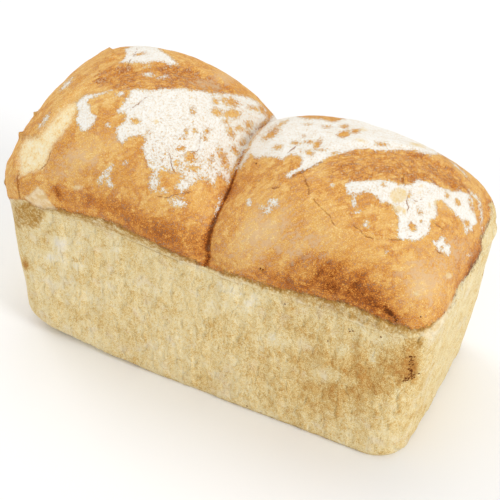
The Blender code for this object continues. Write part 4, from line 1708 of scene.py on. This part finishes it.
@dataclass(frozen=True)
class Loaf:
    """The whole loaf as one closed mesh, with its marks as attributes."""

    view: Viewpoint
    form: LoafForm
    crust: BreadCrust
    columns: int = 270
    depth_columns: int = 120
    wall_rows: int = 44
    dome_rows: int = 40
    column_crowding: float = 0.3
    wall_row_power: float = 1.5
    flat_base_mm: tuple[float, float] = (0.5, 5.0)

    def grid(self) -> bmesh.types.BMesh:
        """A cube of edge 2, open below, cut into columns and rows.

        Returns:
            The cube's mesh.
        """
        mesh = bmesh.new()
        bmesh.ops.create_cube(mesh, size=2.0)
        below = [face for face in mesh.faces if face.normal.z < -0.5]
        bmesh.ops.delete(mesh, geom=below, context="FACES_ONLY")
        cells = (self.columns, self.depth_columns, self.wall_rows + self.dome_rows)
        for axis, count in enumerate(cells):
            edges = [e for e in mesh.edges if abs(e.verts[0].co[axis] - e.verts[1].co[axis]) > 1e-6]
            bmesh.ops.subdivide_edges(mesh, edges=edges, cuts=count - 1, use_grid_fill=True)
        rim = [edge for edge in mesh.edges if edge.is_boundary]
        bmesh.ops.contextual_create(mesh, geom=rim)
        bmesh.ops.recalc_face_normals(mesh, faces=mesh.faces[:])
        return mesh

    def form_points(self, grid: np.ndarray) -> np.ndarray:
        """Moves the cube's points on to the loaf's main form.

        Args:
            grid: the cube's points.

        Returns:
            Rows of x, y and z, with the origin under the middle of the box.
        """
        p = grid[:, 0] - self.column_crowding * np.sin(2.0 * np.pi * grid[:, 0]) / (2.0 * np.pi)
        q = grid[:, 1]
        row = (grid[:, 2] + 1.0) / 2 * (self.wall_rows + self.dome_rows)
        wall = row <= self.wall_rows + 1e-3
        points = np.empty_like(grid)
        below = np.clip(1.0 - row[wall] / self.wall_rows, 0.0, 1.0)
        points[wall] = self.form.wall_points(p[wall], q[wall], 1.0 - below ** self.wall_row_power)
        share = (row[~wall] - self.wall_rows) / self.dome_rows
        points[~wall] = self.form.crown_points(p[~wall], q[~wall], share)
        points[:, :2] -= (points[:, :2].max(axis=0) + points[:, :2].min(axis=0)) / 2
        return points

    def build(self) -> bpy.types.Object:
        """Builds the loaf.

        Returns:
            The loaf's object.
        """
        cube = self.grid()
        mesh = bpy.data.meshes.new("tin_loaf")
        cube.to_mesh(mesh)
        cube.free()
        count = len(mesh.vertices)
        grid = np.empty(count * 3)
        mesh.vertices.foreach_get("co", grid)
        points = self.form_points(grid.reshape(count, 3))
        mesh.vertices.foreach_set("co", points.ravel())
        mesh.update()
        normals = np.empty(count * 3, np.float32)
        mesh.vertices.foreach_get("normal", normals)
        normals = normals.reshape(count, 3).astype(float)
        marks = CrustMap(self.view, self.form).marks(points, normals)
        height = CrustRelief(self.view, self.form).height_mm(points, normals, marks) * MM
        moved = normals * height[:, None]
        moved[:, 2] *= smooth_step(points[:, 2] / MM, *self.flat_base_mm)
        mesh.vertices.foreach_set("co", (points + moved).ravel())
        for mark, values in marks.items():
            attribute = mesh.attributes.new(mark.value, "FLOAT", "POINT")
            attribute.data.foreach_set("value", values.astype(np.float32))
        mesh.shade_smooth()
        mesh.update()
        loaf = bpy.data.objects.new("tin_loaf", mesh)
        bpy.context.scene.collection.objects.link(loaf)
        self.crust.dress(loaf)
        return loaf


@dataclass(frozen=True)
class BurntCrumb:
    """Matt crumbs, burnt near-black or brown in the tin: they give the crust its dark specks."""

    burnt: str = "3c1c0e"
    brown: str = "8a4e22"
    patch_mm: float = 0.8
    roughness: float = 0.9
    specular: float = 0.1

    def dress(self, piece: bpy.types.Object) -> None:
        """Gives a piece this finish.

        Args:
            piece: what is dressed.
        """
        material = bpy.data.materials.new("burnt_crumb")
        material.use_nodes = True
        tree = material.node_tree
        shader = tree.nodes["Principled BSDF"]
        shader.inputs["Roughness"].default_value = self.roughness
        shader.inputs["Specular IOR Level"].default_value = self.specular
        place = add_node(tree, "ShaderNodeTexCoord", {}, {}).outputs["Object"]
        noise = add_node(tree, "ShaderNodeTexNoise", {}, {0: place, "Scale": 1.0 / (self.patch_mm * MM)})
        tint = add_node(tree, "ShaderNodeMix", {"data_type": "RGBA"}, {
            0: noise.outputs[0], 6: linear_colour(self.burnt), 7: linear_colour(self.brown),
        })
        tree.links.new(tint.outputs[2], shader.inputs["Base Color"])
        piece.data.materials.append(material)


@dataclass(frozen=True)
class Crumbs:
    """Small burnt crumbs where the photograph shows them, each just over half sunk in the crust."""

    view: Viewpoint
    finish: BurntCrumb
    sunk: float = 0.25
    flat: float = 0.7
    uneven: float = 0.28
    swell: float = 1.1
    smallest_px: float = 0.35
    largest_px: float = 1.3
    narrowest: float = 0.6
    seed: int = 5

    def grouped(self, chance: np.random.Generator) -> list[Spot]:
        """Scatters the crumbs of each group.

        Args:
            chance: where the random numbers come from.

        Returns:
            One small spot for each crumb.
        """
        made = []
        for group, count in CRUMB_GROUPS:
            turn = math.radians(group.turn)
            for _ in range(count):
                u, v = chance.normal(size=2) * (group.wide / 2, group.high / 2)
                x = group.x + u * math.cos(turn) - v * math.sin(turn)
                y = group.y + u * math.sin(turn) + v * math.cos(turn)
                size = self.smallest_px + (self.largest_px - self.smallest_px) * chance.random() ** 2
                made.append(Spot(x, y, size, size * chance.uniform(self.narrowest, 1.0)))
        return made

    def build(self, loaf: bpy.types.Object) -> bpy.types.Object:
        """Builds the crumbs on the loaf.

        Args:
            loaf: what carries them.

        Returns:
            The crumbs as one object.
        """
        bpy.context.view_layer.update()
        chance = np.random.default_rng(self.seed)
        right, up, back = self.view.axes()
        eye = self.view.eye()
        crumbs = bmesh.new()
        for spot in (*BURNT_CRUMBS, *self.grouped(chance)):
            across = (spot.x - self.view.frame_px / 2) / self.view.focal_px
            down = (spot.y - self.view.frame_px / 2) / self.view.focal_px
            ray = Vector(across * right - down * up - back).normalized()
            hit, place, normal, _ = loaf.ray_cast(Vector(eye), ray)
            if not hit:
                continue
            size = self.swell * max(spot.wide, spot.high) / self.view.px_per_mm() * MM
            made = bmesh.ops.create_icosphere(crumbs, subdivisions=2, radius=1.0)["verts"]
            turn = normal.to_track_quat("Z", "Y").to_matrix().to_4x4()
            shape = Matrix.Diagonal((size, size * spot.high / spot.wide, size * self.flat, 1.0))
            centre = Matrix.Translation(place - normal * size * self.sunk * self.flat)
            for vertex, bulge in zip(made, chance.uniform(-self.uneven, self.uneven, len(made))):
                vertex.co *= 1.0 + bulge
            bmesh.ops.transform(crumbs, matrix=centre @ turn @ shape, verts=made)
        mesh = bpy.data.meshes.new("burnt_crumbs")
        crumbs.to_mesh(mesh)
        crumbs.free()
        mesh.shade_smooth()
        piece = bpy.data.objects.new("burnt_crumbs", mesh)
        bpy.context.scene.collection.objects.link(piece)
        self.finish.dress(piece)
        return piece


@dataclass(frozen=True)
class Lamp:
    """One soft square lamp that points at the loaf."""

    name: str
    power: float
    size: float
    place: tuple[float, float, float]

    def hang(self) -> None:
        """Adds the lamp to the scene."""
        data = bpy.data.lights.new(self.name, "AREA")
        data.energy = self.power
        data.size = self.size
        lamp = bpy.data.objects.new(self.name, data)
        lamp.location = self.place
        lamp.rotation_mode = "QUATERNION"
        lamp.rotation_quaternion = Vector(self.place).to_track_quat("Z", "Y")
        bpy.context.scene.collection.objects.link(lamp)


@dataclass(frozen=True)
class Studio:
    """The plain pale floor and the soft lights."""

    floor_size: float = 6.0
    floor_colour: str = "f9f9f9"
    floor_roughness: float = 0.9
    floor_specular: float = 0.1
    sky_colour: str = "ffffff"
    sky_strength: float = 0.66
    lamps: tuple[Lamp, ...] = (
        Lamp("key", 29.0, 0.9, (2.4, -0.6, 1.6)),
        Lamp("fill", 5.5, 1.2, (0.2, -2.5, 1.5)),
        Lamp("top_light", 15.0, 1.6, (-0.3, 1.0, 3.2)),
        Lamp("back_light", 18.0, 1.4, (-2.1, 0.7, 1.9)),
    )

    def floor(self) -> bpy.types.Object:
        """Lays the floor.

        Returns:
            The floor's object.
        """
        sheet = bmesh.new()
        bmesh.ops.create_grid(sheet, x_segments=1, y_segments=1, size=self.floor_size / 2)
        mesh = bpy.data.meshes.new("studio_floor")
        sheet.to_mesh(mesh)
        sheet.free()
        floor = bpy.data.objects.new("studio_floor", mesh)
        bpy.context.scene.collection.objects.link(floor)
        material = bpy.data.materials.new("white_paper")
        material.use_nodes = True
        shader = material.node_tree.nodes["Principled BSDF"]
        shader.inputs["Base Color"].default_value = linear_colour(self.floor_colour)
        shader.inputs["Roughness"].default_value = self.floor_roughness
        shader.inputs["Specular IOR Level"].default_value = self.floor_specular
        mesh.materials.append(material)
        return floor

    def light(self) -> None:
        """Lights the scene with an even white sky and the soft lamps."""
        scene = bpy.context.scene
        world = bpy.data.worlds.new("studio")
        world.use_nodes = True
        back = world.node_tree.nodes["Background"]
        back.inputs["Color"].default_value = linear_colour(self.sky_colour)
        back.inputs["Strength"].default_value = self.sky_strength
        scene.world = world
        scene.view_settings.view_transform = "Standard"
        for lamp in self.lamps:
            lamp.hang()


def main() -> None:
    """Builds the studio and the loaf, and reports each piece."""
    logging.basicConfig(level=logging.INFO, format="%(message)s")
    view = Viewpoint()
    view.make_camera()
    studio = Studio()
    studio.light()
    studio.floor()
    loaf = Loaf(view, LoafForm(), BreadCrust()).build()
    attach(loaf, "root")
    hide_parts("loaf")
    crumbs = Crumbs(view, BurntCrumb()).build(loaf)
    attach(crumbs, "root")
    for piece in (loaf, crumbs):
        mesh = piece.data
        log.info("%s: %d vertices, %d faces", piece.name, len(mesh.vertices), len(mesh.polygons))


if __name__ == "__main__":
    main()
